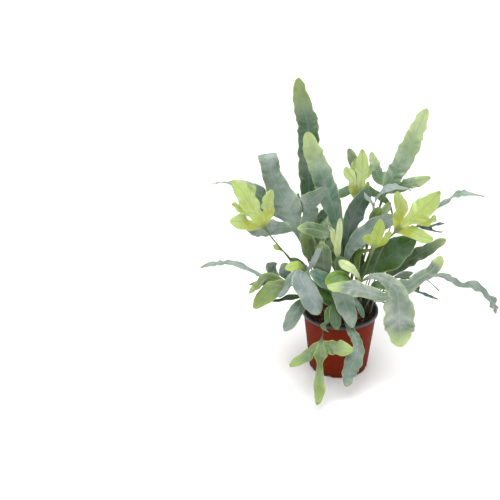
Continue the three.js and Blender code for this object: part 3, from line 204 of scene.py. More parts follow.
# Tall fronds first
FRONDS = (
    Frond("tall_back", "sage", (0, -0.9, 0.35), (-14, 30),
          ((-29, 28, 167, 2), (-42, 32, 230, 9), (-50, 36, 279, 26), (-53, 38, 336, 31),
           (-55, 36, 394, 32), (-64, 33, 428, 27), (-69, 29, 455, 18), (-71, 24, 473, 8)),
          Lobe(2.5, (-60, 34, 266, 12), (-68, 33, 284, 8)),
          Lobe(2.1, (-27, 38, 246, 14), (-20, 40, 260, 8)), wave=1.6),
    Frond("tall_front", "limetip", (0.1, -0.9, 0.4), (-6, 8),
          ((-2, 8, 164, 2), (-2, 11, 209, 8), (-8, 13, 244, 21), (-19, 14, 281, 31), (-33, 12, 323, 32),
           (-46, 9, 357, 29), (-54, 6, 381, 21), (-58, 2, 397, 9)), wave=1.4, shade=1.05),
    Frond("left_grey", "grey", (0, -0.8, 0.6), (-26, 14),
          ((-42, 8, 155, 2), (-60, 5, 206, 2.4), (-70, 4, 240, 15), (-83, 6, 270, 44), (-97, 8, 297, 37),
           (-108, 8, 325, 29), (-113, 8, 349, 29), (-115, 16, 356, 29), (-116, 28, 349, 28),
           (-116, 38, 335, 16)),
          Lobe(2.9, (-58, 1, 275, 31), (-47, -1, 290, 29), (-36, -3, 301, 18), (-28, -4, 311, 5)),
          Lobe(3.2, (-90, -6, 248, 28), (-111, -10, 244, 32), (-130, -14, 244, 24), (-149, -16, 248, 6)),
          Lobe(4.2, (-123, 12, 287, 26), (-143, 12, 301, 24), (-164, 12, 309, 18), (-184, 12, 312, 13),
               (-203, 12, 308, 5), tip_face=(0, 0.35, 0.94)), shade=1.04),
    Frond("left_lime", "lime", (0, -0.8, 0.6), (-30, -4),
          ((-61, -8, 151, 2), (-80, -14, 193, 2), (-108, -20, 234, 2.2), (-119, -22, 252, 2.5),
           (-129, -22, 270, 20), (-141, -22, 291, 27), (-154, -22, 314, 24), (-162, -22, 324, 15),
           (-169, -22, 330, 5)),
          Lobe(4.7, (-141, -20, 261, 24), (-154, -22, 262, 25), (-172, -24, 265, 11)),
          Lobe(5.9, (-156, -23, 291, 13), (-169, -24, 292, 5)),
          Lobe(4.7, (-120, -24, 284, 23), (-114, -26, 301, 22), (-109, -28, 318, 9)),
          Lobe(6.6, (-144, -22, 315, 9), (-139, -22, 324, 4)), wave=1.4),
    Frond("mid_simple", "green", (0, -0.7, 0.7), (-4, -6),
          ((-5, -6, 163, 2), (-9, -10, 208, 2.4), (-16, -14, 234, 9), (-33, -18, 244, 22),
           (-53, -22, 251, 21), (-71, -26, 253, 8)), shade=1.05),
    Frond("mid_lime", "limepale", (0, -0.8, 0.6), (0, -14),
          ((-6, -16, 159, 2), (-7, -20, 196, 3), (-9, -21, 212, 11), (-8, -22, 226, 9), (-7, -24, 249, 10),
           (-7, -26, 270, 6)),
          Lobe(4, (-15, -24, 244, 9), (-25, -26, 257, 4))),
    Frond("top_lime", "lime", (0, -0.9, 0.4), (12, 22),
          ((18, 20, 157, 2), (23, 18, 237, 2), (25, 15, 287, 4), (26, 14, 308, 13), (27, 14, 331, 19),
           (26, 13, 347, 19), (25, 12, 366, 5)),
          Lobe(3.1, (15, 9, 316, 16), (7, 8, 327, 17), (0, 7, 339, 8)),
          Lobe(3.3, (33, 13, 303, 8), (37, 12, 313, 4)),
          Lobe(5.1, (18, 9, 344, 8), (15, 8, 352, 4)),
          Lobe(4.6, (32, 13, 329, 7), (38, 13, 338, 3)), shade=1.04),
    Frond("top_behind", "sage", (0, -0.9, 0.4), (9, 40),
          ((22, 44, 144, 2), (27, 56, 227, 2), (30, 54, 279, 8), (22, 48, 315, 16), (13, 44, 339, 15),
           (7, 40, 355, 6)), shade=1.28),
    Frond("right_tall", "paletip", (0, -0.9, 0.4), (22, 26),
          ((36, 22, 174, 2), (53, 21, 252, 2), (63, 20, 290, 6), (72, 22, 310, 25), (85, 24, 334, 29),
           (96, 25, 360, 30), (106, 24, 389, 25), (113, 22, 412, 18), (119, 20, 427, 8)),
          Lobe(3.7, (53, 22, 315, 18), (46, 21, 337, 17), (39, 20, 358, 7)),
          Lobe(3.6, (91, 20, 303, 19), (112, 18, 310, 17), (131, 16, 318, 7)), wave=1.8, lead=1.1),
    Frond("back_strap", "dark", (0, -0.5, 0.85), (30, 24),
          ((54, 30, 166, 2), (78, 34, 234, 2.4), (74, 34, 261, 6), (58, 36, 277, 15), (24, 38, 291, 19),
           (1, 38, 283, 17), (-19, 36, 274, 6))),
    Frond("blue_strap", "blue", (0, -0.1, 1), (16, 8),
          ((18, 12, 144, 2), (33, 22, 192, 2), (43, 24, 236, 2), (48, 18, 262, 2.4), (47, 8, 282, 9),
           (53, -2, 300, 16), (64, -6, 311, 17), (78, -4, 313, 16), (90, 0, 308, 13), (102, 4, 301, 5)),
          Lobe(4.6, (39, -1, 295, 10), (29, -4, 305, 7)), wave=1.6),
    Frond("dark_upright", "darkgrey", (0.3, -0.8, 0.5), (4, 2),
          ((5, 0, 142, 2), (4, -4, 184, 3), (7, -8, 231, 18), (16, -5, 265, 30), (26, 2, 283, 27),
           (33, 6, 295, 20), (39, 8, 304, 8))),
    Frond("blue_broad", "slate", (-0.2, -0.75, 0.65), (10, -8),
          ((7, -10, 138, 2), (4, -16, 180, 3), (10, -20, 215, 18), (24, -22, 236, 26), (43, -20, 251, 27),
           (64, -15, 261, 23), (84, -9, 264, 10))),
    Frond("olive_leaf", "olive", (0, -0.7, 0.7), (24, 12),
          ((29, 8, 146, 2), (37, 4, 206, 2.2), (40, -4, 248, 9), (47, -5, 262, 17), (51, -5, 271, 15),
           (55, -6, 279, 7)), shade=1.1),
    Frond("pale_tip", "pale", (0, -0.7, 0.7), (27, 4),
          ((32, 4, 157, 2), (49, 8, 216, 2), (58, 10, 253, 8), (65, 10, 269, 13), (72, 10, 280, 5))),
    Frond("right_lime", "lime", (0, -0.8, 0.6), (34, -6),
          ((43, -30, 174, 2), (62, -38, 236, 2), (80, -32, 255, 3.5), (96, -28, 268, 16),
           (113, -26, 283, 34), (127, -26, 297, 26), (140, -26, 315, 5)),
          Lobe(3.3, (85, -30, 280, 20), (80, -31, 299, 20), (75, -32, 317, 9)),
          Lobe(4.4, (128, -27, 272, 18), (137, -28, 265, 8)),
          Lobe(3.2, (99, -30, 251, 19), (116, -32, 242, 19), (134, -34, 238, 9)), wave=1.4, shade=0.97),
    Frond("small_lime", "lime", (0, -0.8, 0.6), (24, -20),
          ((25, -24, 146, 2), (38, -36, 201, 2), (44, -42, 232, 5), (47, -43, 247, 18), (51, -43, 264, 16),
           (52, -42, 277, 6)),
          Lobe(3.1, (34, -44, 245, 14), (25, -45, 247, 7)),
          Lobe(3.1, (58, -44, 247, 14), (69, -45, 257, 6)), shade=0.84),
    Frond("dark_broad", "dark", (0.2, -0.75, 0.6), (20, -12),
          ((23, -14, 141, 2), (28, -16, 163, 3), (38, -18, 180, 18), (51, -18, 190, 38),
           (69, -16, 200, 45), (88, -12, 214, 38), (103, -8, 224, 22), (112, -6, 231, 8))),
    Frond("under_strap", "green", (0, -0.6, 0.8), (36, 4),
          ((40, 2, 128, 2), (61, 2, 150, 3), (81, 2, 167, 16), (104, 2, 185, 22), (126, 2, 200, 21),
           (145, 2, 212, 16), (159, 2, 221, 8)), wave=2, shade=1.14),
    Frond("far_right", "grey", (0, -0.05, 1), (36, 14),
          ((49, 10, 154, 2), (83, 6, 209, 2), (117, 4, 247, 3), (139, 2, 273, 9), (155, 0, 288, 16),
           (173, -2, 300, 20), (190, -4, 300, 10), (210, -6, 296, 3)), wave=2),
    Frond("right_thin", "darkgrey", (0, 0, 1), (40, -2),
          ((49, 6, 138, 2), (78, 12, 186, 2), (104, 4, 230, 2.5), (117, -6, 250, 7), (132, -10, 249, 9),
           (142, -12, 254, 10), (152, -14, 255, 4)),
          Lobe(4.3, (135, -12, 246, 7), (151, -14, 242, 3))),
    Frond("front_right", "bluelime", (0, -0.85, 0.5), (16, -30),
          ((15, -38, 144, 2), (28, -48, 175, 3), (46, -56, 188, 10), (65, -64, 184, 20),
           (78, -72, 170, 26), (82, -80, 147, 46), (84, -86, 121, 47), (86, -90, 97, 32), (87, -91, 84, 16)),
          Lobe(4.9, (61, -76, 163, 15), (45, -78, 169, 20), (30, -80, 176, 19), (13, -82, 182, 27),
               (-2, -83, 185, 18), (-15, -84, 188, 17), (-29, -86, 190, 9)),
          Lobe(4.7, (96, -72, 180, 16), (110, -72, 194, 19), (126, -72, 204, 18), (135, -72, 217, 18),
               (142, -72, 231, 13)), wave=1.5, lead=1.12),
    Frond("trailing", "slate", (0, -0.3, 0.95), (42, -8),
          ((58, -4, 132, 2), (84, -6, 152, 2), (114, -10, 161, 3), (147, -14, 167, 9), (164, -17, 165, 14),
           (175, -18, 157, 14), (186, -20, 153, 13), (197, -23, 157, 16), (209, -26, 153, 19),
           (220, -30, 145, 13), (228, -33, 135, 18), (237, -36, 121, 17), (237, -38, 111, 8)), wave=3),
    Frond("thin_blades", "darkgrey", (0, 0, 1), (30, -26),
          ((45, -40, 145, 2), (74, -48, 160, 2.5), (102, -52, 163, 6), (123, -56, 157, 10),
           (144, -60, 150, 3)),
          Lobe(3.2, (120, -54, 179, 5), (133, -56, 171, 8), (145, -58, 162, 3)), shade=0.92),
    Frond("left_long", "grey", (0, -0.2, 1), (-38, -10),
          ((-59, -16, 142, 2), (-83, -20, 156, 4), (-103, -22, 164, 9), (-123, -24, 172, 8),
           (-141, -26, 183, 12), (-152, -26, 190, 15), (-168, -28, 196, 12), (-189, -30, 197, 11),
           (-205, -31, 194, 9), (-217, -32, 189, 3)),
          Lobe(2.8, (-106, -23, 175, 21), (-108, -23, 193, 19), tip_face=(0, -0.9, 0.4)),
          Lobe(1.6, (-86, -14, 171, 22), (-89, -11, 188, 18), tip_face=(0, -0.9, 0.4)),
          Lobe(3.3, (-118, -28, 163, 9), (-130, -30, 162, 8), (-143, -32, 160, 3)), wave=2),
    Frond("left_two", "limetips", (0, -0.75, 0.65), (-42, -22),
          ((-58, -30, 139, 2), (-77, -36, 163, 5), (-91, -38, 162, 20), (-109, -42, 155, 28),
           (-123, -44, 142, 24), (-136, -46, 126, 10)),
          Lobe(3.2, (-114, -44, 161, 18), (-129, -45, 156, 15), (-143, -47, 153, 8)), wave=1.5, lead=1.1),
    Frond("bud_leaf", "lime", (0, -0.7, 0.7), (-38, 2),
          ((-50, -6, 145, 2), (-58, -18, 178, 3), (-67, -27, 191, 14), (-79, -28, 189, 15),
           (-89, -29, 186, 7)), shade=0.86),
    Frond("bud_shade", "dark", (0, -0.4, 0.9), (-38, 16),
          ((-44, 20, 132, 2), (-57, 20, 168, 6), (-68, 18, 176, 11), (-81, 16, 179, 5))),
    Frond("front_left", "blue", (0.2, -0.8, 0.6), (-24, -10),
          ((-42, -12, 129, 2), (-55, -20, 160, 2.3), (-62, -32, 184, 8), (-65, -44, 180, 27),
           (-57, -54, 167, 34), (-47, -60, 149, 32), (-39, -62, 133, 26), (-35, -62, 125, 13)),
          Lobe(3.7, (-88, -50, 160, 9), (-99, -54, 150, 6)),
          Lobe(3, (-52, -34, 202, 11), (-42, -34, 216, 11), (-32, -34, 227, 5))),
    Frond("mid_green", "green", (0, -0.8, 0.6), (-12, -16),
          ((-18, -18, 134, 2), (-23, -22, 166, 8), (-29, -24, 192, 26), (-31, -24, 212, 24),
           (-33, -22, 231, 7)), shade=1.12),
    Frond("mid_blue", "teal", (0, -0.6, 0.8), (-8, -24),
          ((-12, -28, 131, 2.4), (-16, -32, 154, 14), (-27, -36, 170, 26), (-41, -38, 180, 22),
           (-52, -40, 186, 8)), shade=0.9),
    Frond("lime_edge", "limeedge", (0, -0.6, 0.8), (8, -24),
          ((8, -32, 128, 2), (15, -42, 162, 6), (4, -48, 181, 18), (-15, -55, 186, 20), (-28, -59, 175, 9)),
          shade=0.86),
    Frond("hang_mid", "grey", (0, -0.8, 0.6), (6, -16),
          ((7, -22, 131, 2), (2, -31, 157, 2.4), (-5, -43, 169, 10), (-4, -54, 161, 28), (2, -64, 146, 31),
           (10, -72, 128, 22), (15, -76, 109, 8))),
    Frond("hang_narrow", "teal", (0, -0.7, 0.7), (20, -16),
          ((20, -20, 119, 2), (19, -27, 136, 2.4), (21, -39, 135, 7), (27, -47, 126, 10), (33, -51, 112, 5))),
    Frond("hang_left", "grey", (0, -0.75, 0.65), (-34, -22),
          ((-52, -30, 127, 2), (-59, -38, 138, 5), (-65, -46, 132, 20), (-74, -54, 120, 23),
           (-83, -60, 105, 18), (-89, -63, 95, 6)), wave=1.4, shade=0.94),
    Frond("small_pale", "limepale", (0, -0.75, 0.65), (22, -24),
          ((29, -32, 147, 2), (27, -40, 169, 3), (20, -44, 185, 8), (9, -47, 198, 15), (0, -48, 204, 15),
           (-9, -50, 211, 6)), shade=0.97),
    Frond("arching", "olive", (0, -0.6, 0.8), (33, -20),
          ((29, -21, 148, 2.5), (24, -21, 171, 8), (21, -21, 193, 13), (24, -22, 209, 9),
           (34, -24, 215, 6), (46, -26, 216, 3))),
    Frond("front_three", "limetips", (0, -0.85, 0.5), (-14, -40),
          ((-25, -53, 110, 2), (-29, -64, 105, 2), (-31, -78, 99, 2), (-34, -91, 89, 7),
           (-35, -102, 80, 22), (-36, -112, 68, 8), (-37, -122, 55, 13), (-37, -132, 39, 18),
           (-38, -140, 26, 13), (-41, -148, 18, 5)),
          Lobe(4.5, (-54, -102, 77, 17), (-69, -104, 69, 15), (-82, -106, 60, 8)),
          Lobe(4.4, (-16, -98, 89, 24), (0, -100, 88, 24), (15, -100, 86, 10)), wave=1.6, lead=1.1),
    Frond("front_hang", "grey", (0.1, -0.85, 0.5), (6, -42),
          ((4, -52, 113, 2.4), (7, -62, 108, 8), (14, -74, 101, 14), (22, -84, 88, 15), (21, -92, 73, 24),
           (13, -100, 57, 27), (8, -106, 41, 19), (5, -110, 25, 9)), wave=2.5, shade=0.9),
    Frond("front_small", "dark", (0, -0.8, 0.6), (-2, -34),
          ((-9, -42, 120, 2.2), (-12, -52, 138, 5), (-14, -62, 133, 16), (-11, -67, 118, 18),
           (-9, -69, 101, 8)),
          Lobe(2.8, (-16, -73, 122, 9), (-17, -78, 113, 12), (-18, -82, 104, 7))),
    Frond("left_dark", "dark", (0, -0.2, 1), (-42, -14),
          ((-56, -24, 123, 2), (-64, -30, 138, 6), (-78, -34, 140, 14), (-95, -38, 137, 8),
           (-114, -42, 137, 3))),
    Frond("brown_leaf", "olive", (0, -0.8, 0.6), (-18, 9),
          ((-29, -2, 143, 2), (-43, -6, 182, 8), (-51, -8, 207, 22), (-56, -8, 228, 20), (-61, -6, 244, 7)),
          shade=1.15),
    Frond("under_leaf", "dark", (0, -0.6, 0.8), (-10, -30),
          ((-14, -35, 123, 2), (-13, -40, 133, 8), (-21, -43, 141, 22), (-32, -46, 149, 22),
           (-41, -48, 155, 9))),
    Frond("back_left", "green", (0, 0.4, 0.9), (-20, 34),
          ((-32, 50, 114, 2), (-27, 60, 150, 3), (-33, 80, 188, 26), (-38, 105, 199, 34),
           (-41, 130, 197, 28), (-41, 150, 188, 10)),
          Lobe(3, (-16, 98, 199, 18), (-6, 112, 201, 8)),
          Lobe(3, (-52, 98, 199, 18), (-58, 112, 206, 8))),
    Frond("back_middle", "green", (0, 0.4, 0.9), (-2, 38),
          ((-7, 60, 118, 2), (-4, 70, 145, 3), (-7, 88, 175, 24), (-9, 112, 188, 32), (-11, 140, 189, 26),
           (-11, 160, 183, 10)),
          Lobe(3, (7, 104, 187, 16), (20, 114, 189, 7)),
          Lobe(3, (-22, 106, 186, 18), (-31, 118, 189, 8))),
    Frond("back_right", "teal", (0, 0.4, 0.9), (18, 42),
          ((22, 60, 127, 2), (31, 70, 158, 3), (38, 88, 175, 26), (46, 112, 177, 32), (52, 140, 171, 24),
           (56, 158, 162, 9)),
          Lobe(3, (62, 104, 180, 18), (79, 116, 183, 8)),
          Lobe(3, (23, 102, 168, 18), (14, 112, 167, 8))),
    Frond("back_low_right", "dark", (0, 0.2, 1), (28, 28),
          ((36, 36, 133, 2), (52, 58, 141, 2), (69, 78, 142, 4), (87, 98, 141, 22), (103, 120, 137, 26),
           (114, 142, 128, 10)),
          Lobe(4, (75, 104, 142, 16), (73, 117, 144, 7))),
    Frond("back_low_left", "dark", (0, 0.2, 1), (-34, 26),
          ((-42, 50, 119, 2), (-48, 64, 126, 4), (-54, 84, 127, 20), (-60, 104, 121, 22),
           (-64, 124, 114, 9))),
    Frond("back_low_middle", "dark", (0, 0.2, 1), (4, 42),
          ((5, 46, 118, 2), (8, 66, 120, 2.4), (8, 86, 118, 8), (8, 106, 113, 24), (8, 130, 104, 26),
           (8, 152, 90, 10))),
    Frond("mid_dark", "dark", (0, -0.8, 0.6), (18, -2),
          ((21, -3, 126, 2), (26, -4, 151, 9), (27, -4, 172, 20), (24, -4, 193, 20), (22, -3, 211, 8))),
    Frond("shade_right", "dark", (0, -0.5, 0.85), (41, -12),
          ((43, -18, 129, 2), (46, -25, 157, 10), (56, -30, 160, 18), (70, -34, 153, 6))),
    Frond("shade_arch", "dark", (0, -0.3, 0.95), (42, -22),
          ((47, -28, 120, 2), (49, -34, 134, 5), (57, -40, 140, 9), (65, -44, 134, 3))),
    Frond("shade_far", "grey", (0, -0.3, 0.95), (46, 2),
          ((65, 4, 127, 2), (86, 6, 153, 8), (99, 4, 158, 17), (112, 2, 163, 6))),
    Frond("leaflet", "lime", (0, -0.8, 0.6), (-30, 6),
          ((-51, 6, 142, 2), (-77, -3, 187, 2), (-94, -12, 211, 2.2), (-100, -13, 214, 12),
           (-106, -14, 219, 6))),
    Frond("inner_left", "dark", (0, -0.6, 0.8), (-10, -6),
          ((-14, -8, 125, 2), (-19, -11, 137, 8), (-28, -13, 144, 22), (-39, -14, 150, 18),
           (-47, -15, 154, 6))),
    Frond("inner_back", "dark", (0, -0.8, 0.6), (8, 26),
          ((9, 28, 124, 2), (8, 31, 141, 12), (8, 33, 161, 46), (7, 36, 181, 44), (7, 38, 199, 14))),
    Frond("inner_dark", "dark", (0, -0.8, 0.6), (4, -22),
          ((-1, -24, 136, 2), (0, -26, 158, 6), (0, -28, 176, 20), (-3, -28, 194, 22), (-10, -28, 207, 8))),
)


def add_node(tree, kind, inputs=None, **settings):
    """Adds a node with its settings, sets or links its inputs, and gives its outputs. Sockets go by their
    identifiers."""
    node = tree.nodes.new(kind)
    for name, value in settings.items():
        setattr(node, name, value)
    sockets = {socket.identifier: socket for socket in node.inputs}
    for name, value in (inputs or {}).items():
        if isinstance(value, bpy.types.NodeSocket):
            tree.links.new(value, sockets[name])
        else:
            sockets[name].default_value = value
    return {socket.identifier: socket for socket in node.outputs}


# Settings that many nodes share: a gentle start and end, a mix of colours, and a product that is added on
SMOOTH = {"interpolation_type": "SMOOTHSTEP"}
COLOURS = {"data_type": "RGBA"}
ADDED = {"operation": "MULTIPLY_ADD"}


def start_material(name):
    """An empty node material, what adds a node to it, and the place on the object that is being shaded."""
    material = bpy.data.materials.new(name)
    material.use_nodes = True
    material.node_tree.nodes.clear()
    add = partial(add_node, material.node_tree)
    return material, add, add("ShaderNodeTexCoord")["Object"]


def finish_material(add, inputs):
    """Ends a material with its shader."""
    shader = add("ShaderNodeBsdfPrincipled", inputs)
    add("ShaderNodeOutputMaterial", {"Surface": shader["BSDF"]})


def pot_material(name, colour, roughness, gloss):
    """Thermoformed polypropylene sheet: a satin face with faint upright streaks where the sheet was drawn
    down, and a breath of peat dust near the soil and the foot."""
    material, add, place = start_material(name)
    # Streaks about 2 mm wide and 40 mm long
    drawn = add("ShaderNodeMapping", {"Vector": place, "Scale": (1, 1, 0.05)})["Vector"]
    streaks = add("ShaderNodeTexNoise", {"Vector": drawn, "Scale": 450, "Detail": 2})["Fac"]
    # Cloudy dust in patches of about 25 mm, with specks in it
    patches = add("ShaderNodeTexNoise", {"Vector": place, "Scale": 40, "Detail": 6, "Roughness": 0.65})["Fac"]
    height = add("ShaderNodeSeparateXYZ", {"Vector": place})["Z"]
    # It settles on the lowest 22 mm of the wall and a little on the top 14 mm
    low, high = (
        add("ShaderNodeMapRange", {
            "Value": height, "From Min": bare, "From Max": full, "To Max": most,
        }, **SMOOTH)["Result"]
        for bare, full, most in ((0.022, 0.0, 0.75), (0.086, 0.098, 0.2))
    )
    where = add("ShaderNodeMath", {"Value": low, "Value_001": high}, operation="MAXIMUM")["Value"]
    cloud = add("ShaderNodeMapRange", {
        "Value": patches, "From Min": 0.45, "From Max": 0.7, "To Min": 0.03, "To Max": 0.4,
    })["Result"]
    dusty = add("ShaderNodeMath", {"Value": where, "Value_001": cloud}, operation="MULTIPLY")["Value"]
    faded = add("ShaderNodeMapRange", {"Value": streaks, "To Min": 0.86, "To Max": 1.14})["Result"]
    streaked = add("ShaderNodeHueSaturation", {"Color": colour, "Value": faded})["Color"]
    base = add(
        "ShaderNodeMix", {"Factor_Float": dusty, "A_Color": streaked, "B_Color": linear(DUST)}, **COLOURS
    )["Result_Color"]
    smoothest, roughest = roughness - 0.07, roughness + 0.12
    satin = add("ShaderNodeMapRange", {
        "Value": patches, "From Min": 0.3, "From Max": 0.75, "To Min": smoothest, "To Max": roughest,
    })["Result"]
    relief = add("ShaderNodeBump", {"Height": streaks, "Strength": 0.25, "Distance": 0.0003})["Normal"]
    finish_material(add, {
        "Base Color": base, "Roughness": satin, "Normal": relief, "IOR": 1.4, "Specular IOR Level": gloss,
    })
    return material


def peat_material(name, dark, light, grain, roughness):
    """Moist milled peat, coir or bark: nearly black in its pores, brown on its crests, with no shine but
    where it is wet."""
    material, add, place = start_material(name)
    grains = add(
        "ShaderNodeTexNoise", {"Vector": place, "Scale": 1 / grain, "Detail": 8, "Roughness": 0.7}
    )["Fac"]
    # Lumps of lighter and darker material about 8 mm across
    lumps = add("ShaderNodeTexNoise", {"Vector": place, "Scale": 120, "Detail": 2})["Fac"]
    mixed = add("ShaderNodeMath", {"Value": lumps, "Value_001": 0.6, "Value_002": grains}, **ADDED)["Value"]
    crests = add("ShaderNodeMapRange", {"Value": mixed, "From Min": 0.62, "From Max": 1.02}, **SMOOTH)
    base = add(
        "ShaderNodeMix", {"Factor_Float": crests["Result"], "A_Color": dark, "B_Color": light}, **COLOURS
    )["Result_Color"]
    relief = add("ShaderNodeBump", {"Height": grains, "Strength": 0.8, "Distance": 0.0008})["Normal"]
    wet = add("ShaderNodeMapRange", {
        "Value": lumps, "From Min": 0.35, "From Max": 0.6, "To Min": roughness - 0.2, "To Max": roughness,
    })["Result"]
    finish_material(add, {"Base Color": base, "Roughness": wet, "Normal": relief, "Specular IOR Level": 0.35})
    return material


def scale_material(name, settings):
    """Papery rhizome scales: golden brown in tufts, darker between them, with a silky sheen."""
    material, add, place = start_material(name)
    # Fibres 0.4 mm apart and tufts 5 mm across
    fibres = add("ShaderNodeTexNoise", {"Vector": place, "Scale": 2500, "Detail": 2})["Fac"]
    tufts = add("ShaderNodeTexNoise", {"Vector": place, "Scale": 200, "Detail": 3})["Fac"]
    gilt = add("ShaderNodeMapRange", {"Value": tufts, "From Min": 0.35, "From Max": 0.65}, **SMOOTH)["Result"]
    tone = add("ShaderNodeMix", {
        "Factor_Float": gilt, "A_Color": settings.shade, "B_Color": settings.gold,
    }, **COLOURS)["Result_Color"]
    light = add("ShaderNodeMapRange", {"Value": fibres, "To Min": 0.7, "To Max": 1.3})["Result"]
    base = add("ShaderNodeHueSaturation", {"Color": tone, "Value": light})["Color"]
    relief = add("ShaderNodeBump", {"Height": fibres, "Strength": 0.5, "Distance": 0.0003})["Normal"]
    finish_material(add, {
        "Base Color": base, "Roughness": 0.75, "Normal": relief, "Sheen Weight": 0.3, "Sheen Roughness": 0.4,
    })
    return material


def vein_course(add, place, across, along):
    """Distance along the blade at which the side vein through a place leaves the midrib, in metres. Side
    veins leave it at about 60 degrees and waver by about a millimetre."""
    waver = add("ShaderNodeTexNoise", {"Vector": place, "Scale": 70, "Detail": 1})["Fac"]
    slant = add("ShaderNodeMath", {"Value": across, "Value_001": -0.58, "Value_002": along}, **ADDED)["Value"]
    return add("ShaderNodeMath", {"Value": waver, "Value_001": 0.004, "Value_002": slant}, **ADDED)["Value"]


def vein_share(add, place, course, spacing):
    """How near a place on a blade is to a side vein or to the net between them, from 0 to 1."""
    off = add("ShaderNodeMath", {"Value": course, "Value_001": spacing / 2}, operation="PINGPONG")["Value"]
    side = add(
        "ShaderNodeMapRange", {"Value": off, "From Min": 0.0006, "From Max": 0.0001}, **SMOOTH
    )["Result"]
    # Net meshes a third of the veins' spacing
    net = add(
        "ShaderNodeTexVoronoi", {"Vector": place, "Scale": 3 / spacing}, feature="DISTANCE_TO_EDGE"
    )["Distance"]
    fine = add(
        "ShaderNodeMapRange", {"Value": net, "From Min": 0.14, "From Max": 0.02, "To Max": 0.45}, **SMOOTH
    )["Result"]
    return add("ShaderNodeMath", {"Value": side, "Value_001": fine}, operation="MAXIMUM")["Value"]


def rib_share(add, across):
    """How near a place on a blade is to its midrib or to a branch of it, from 0 to 1."""
    branch = add("ShaderNodeUVMap", uv_map="branch")["UV"]
    off = add("ShaderNodeSeparateXYZ", {"Vector": branch})["X"]
    beside = add("ShaderNodeMath", {"Value": off}, operation="ABSOLUTE")["Value"]
    own, other = (
        add("ShaderNodeMapRange", {"Value": off, "From Min": outer, "From Max": inner}, **SMOOTH)["Result"]
        for off, outer, inner in ((across, 0.0011, 0.0004), (beside, 0.0009, 0.0003))
    )
    return add("ShaderNodeMath", {"Value": own, "Value_001": other}, operation="MAXIMUM")["Value"]


def bloom_share(add, place, course, across, patches, basal):
    """How thick the waxy bloom is at a place on a blade, from 0 to 1: in patches, in streaks of about 1.5 mm
    by 12 mm that run with the side veins, and thinner in the lower part of the blade."""
    height = add("ShaderNodeSeparateXYZ", {"Vector": place})["Z"]
    flat = add("ShaderNodeCombineXYZ", {"X": course, "Y": across, "Z": height})["Vector"]
    drawn = add("ShaderNodeVectorMath", {"Vector": flat, "Vector_001": (1, 0.12, 0.06)}, operation="MULTIPLY")
    streaks = add("ShaderNodeTexNoise", {"Vector": drawn["Vector"], "Scale": 650, "Detail": 3})["Fac"]
    both = add(
        "ShaderNodeMath", {"Value": streaks, "Value_001": 0.22, "Value_002": patches}, **ADDED
    )["Value"]
    whole = add("ShaderNodeMapRange", {"Value": both, "From Min": 0.45, "From Max": 0.78}, **SMOOTH)["Result"]
    return add(
        "ShaderNodeMath", {"Value": basal, "Value_001": -0.6, "Value_002": whole}, use_clamp=True, **ADDED
    )["Value"]


def bloomed_colour(add, colour, bloom):
    """A blade's colour under its bloom: deeper green where that is thin, and paler and greyer where it is
    thick."""
    shifts = {
        name: add("ShaderNodeMapRange", {"Value": bloom, "To Min": thin, "To Max": thick})["Result"]
        for name, thin, thick in (("Hue", 0.455, 0.508), ("Saturation", 1.5, 0.64), ("Value", 0.8, 1.16))
    }
    return add("ShaderNodeHueSaturation", {"Color": colour, **shifts})["Color"]


def new_growth(add, young, patches):
    """How much of a place is new growth, from 0 to 1, with a border as uneven as the bloom's patches."""
    ragged = add("ShaderNodeMath", {"Value": patches, "Value_001": 0.9, "Value_002": -0.45}, **ADDED)["Value"]
    spread = add("ShaderNodeMath", {"Value": young, "Value_001": ragged}, operation="ADD", use_clamp=True)
    fresh = add(
        "ShaderNodeMath", {"Value": spread["Value"], "Value_001": young}, operation="MULTIPLY", use_clamp=True
    )["Value"]
    return add("ShaderNodeMath", {"Value": fresh, "Value_001": 0.5}, operation="POWER")["Value"]


def stipe_colour(add, place, settings):
    """A stipe is brown at the soil, darkened there partly as its own colour and partly as painted shade under
    the fronds, and greener from about 80 mm above it.
    """
    height = add("ShaderNodeSeparateXYZ", {"Vector": place})["Z"]
    risen = add("ShaderNodeMapRange", {"Value": height, "From Min": 0.09, "From Max": 0.17}, **SMOOTH)
    return add("ShaderNodeMix", {
        "Factor_Float": risen["Result"], "A_Color": settings.stipe_foot_and_painted_shade, "B_Color": settings.stipe,
    }, **COLOURS)["Result_Color"]


# What a frond's mesh carries for its material: marks on its points, and flat maps in metres, of the places
# across and along a blade, and of those about a rib that branches off its midrib
# The shade mark is painted light and shade, beside each frond's own tone
MARKS = ("young", "leafy", "margin", "under", "shade", "basal")
MAPS = ("leaf", "branch")


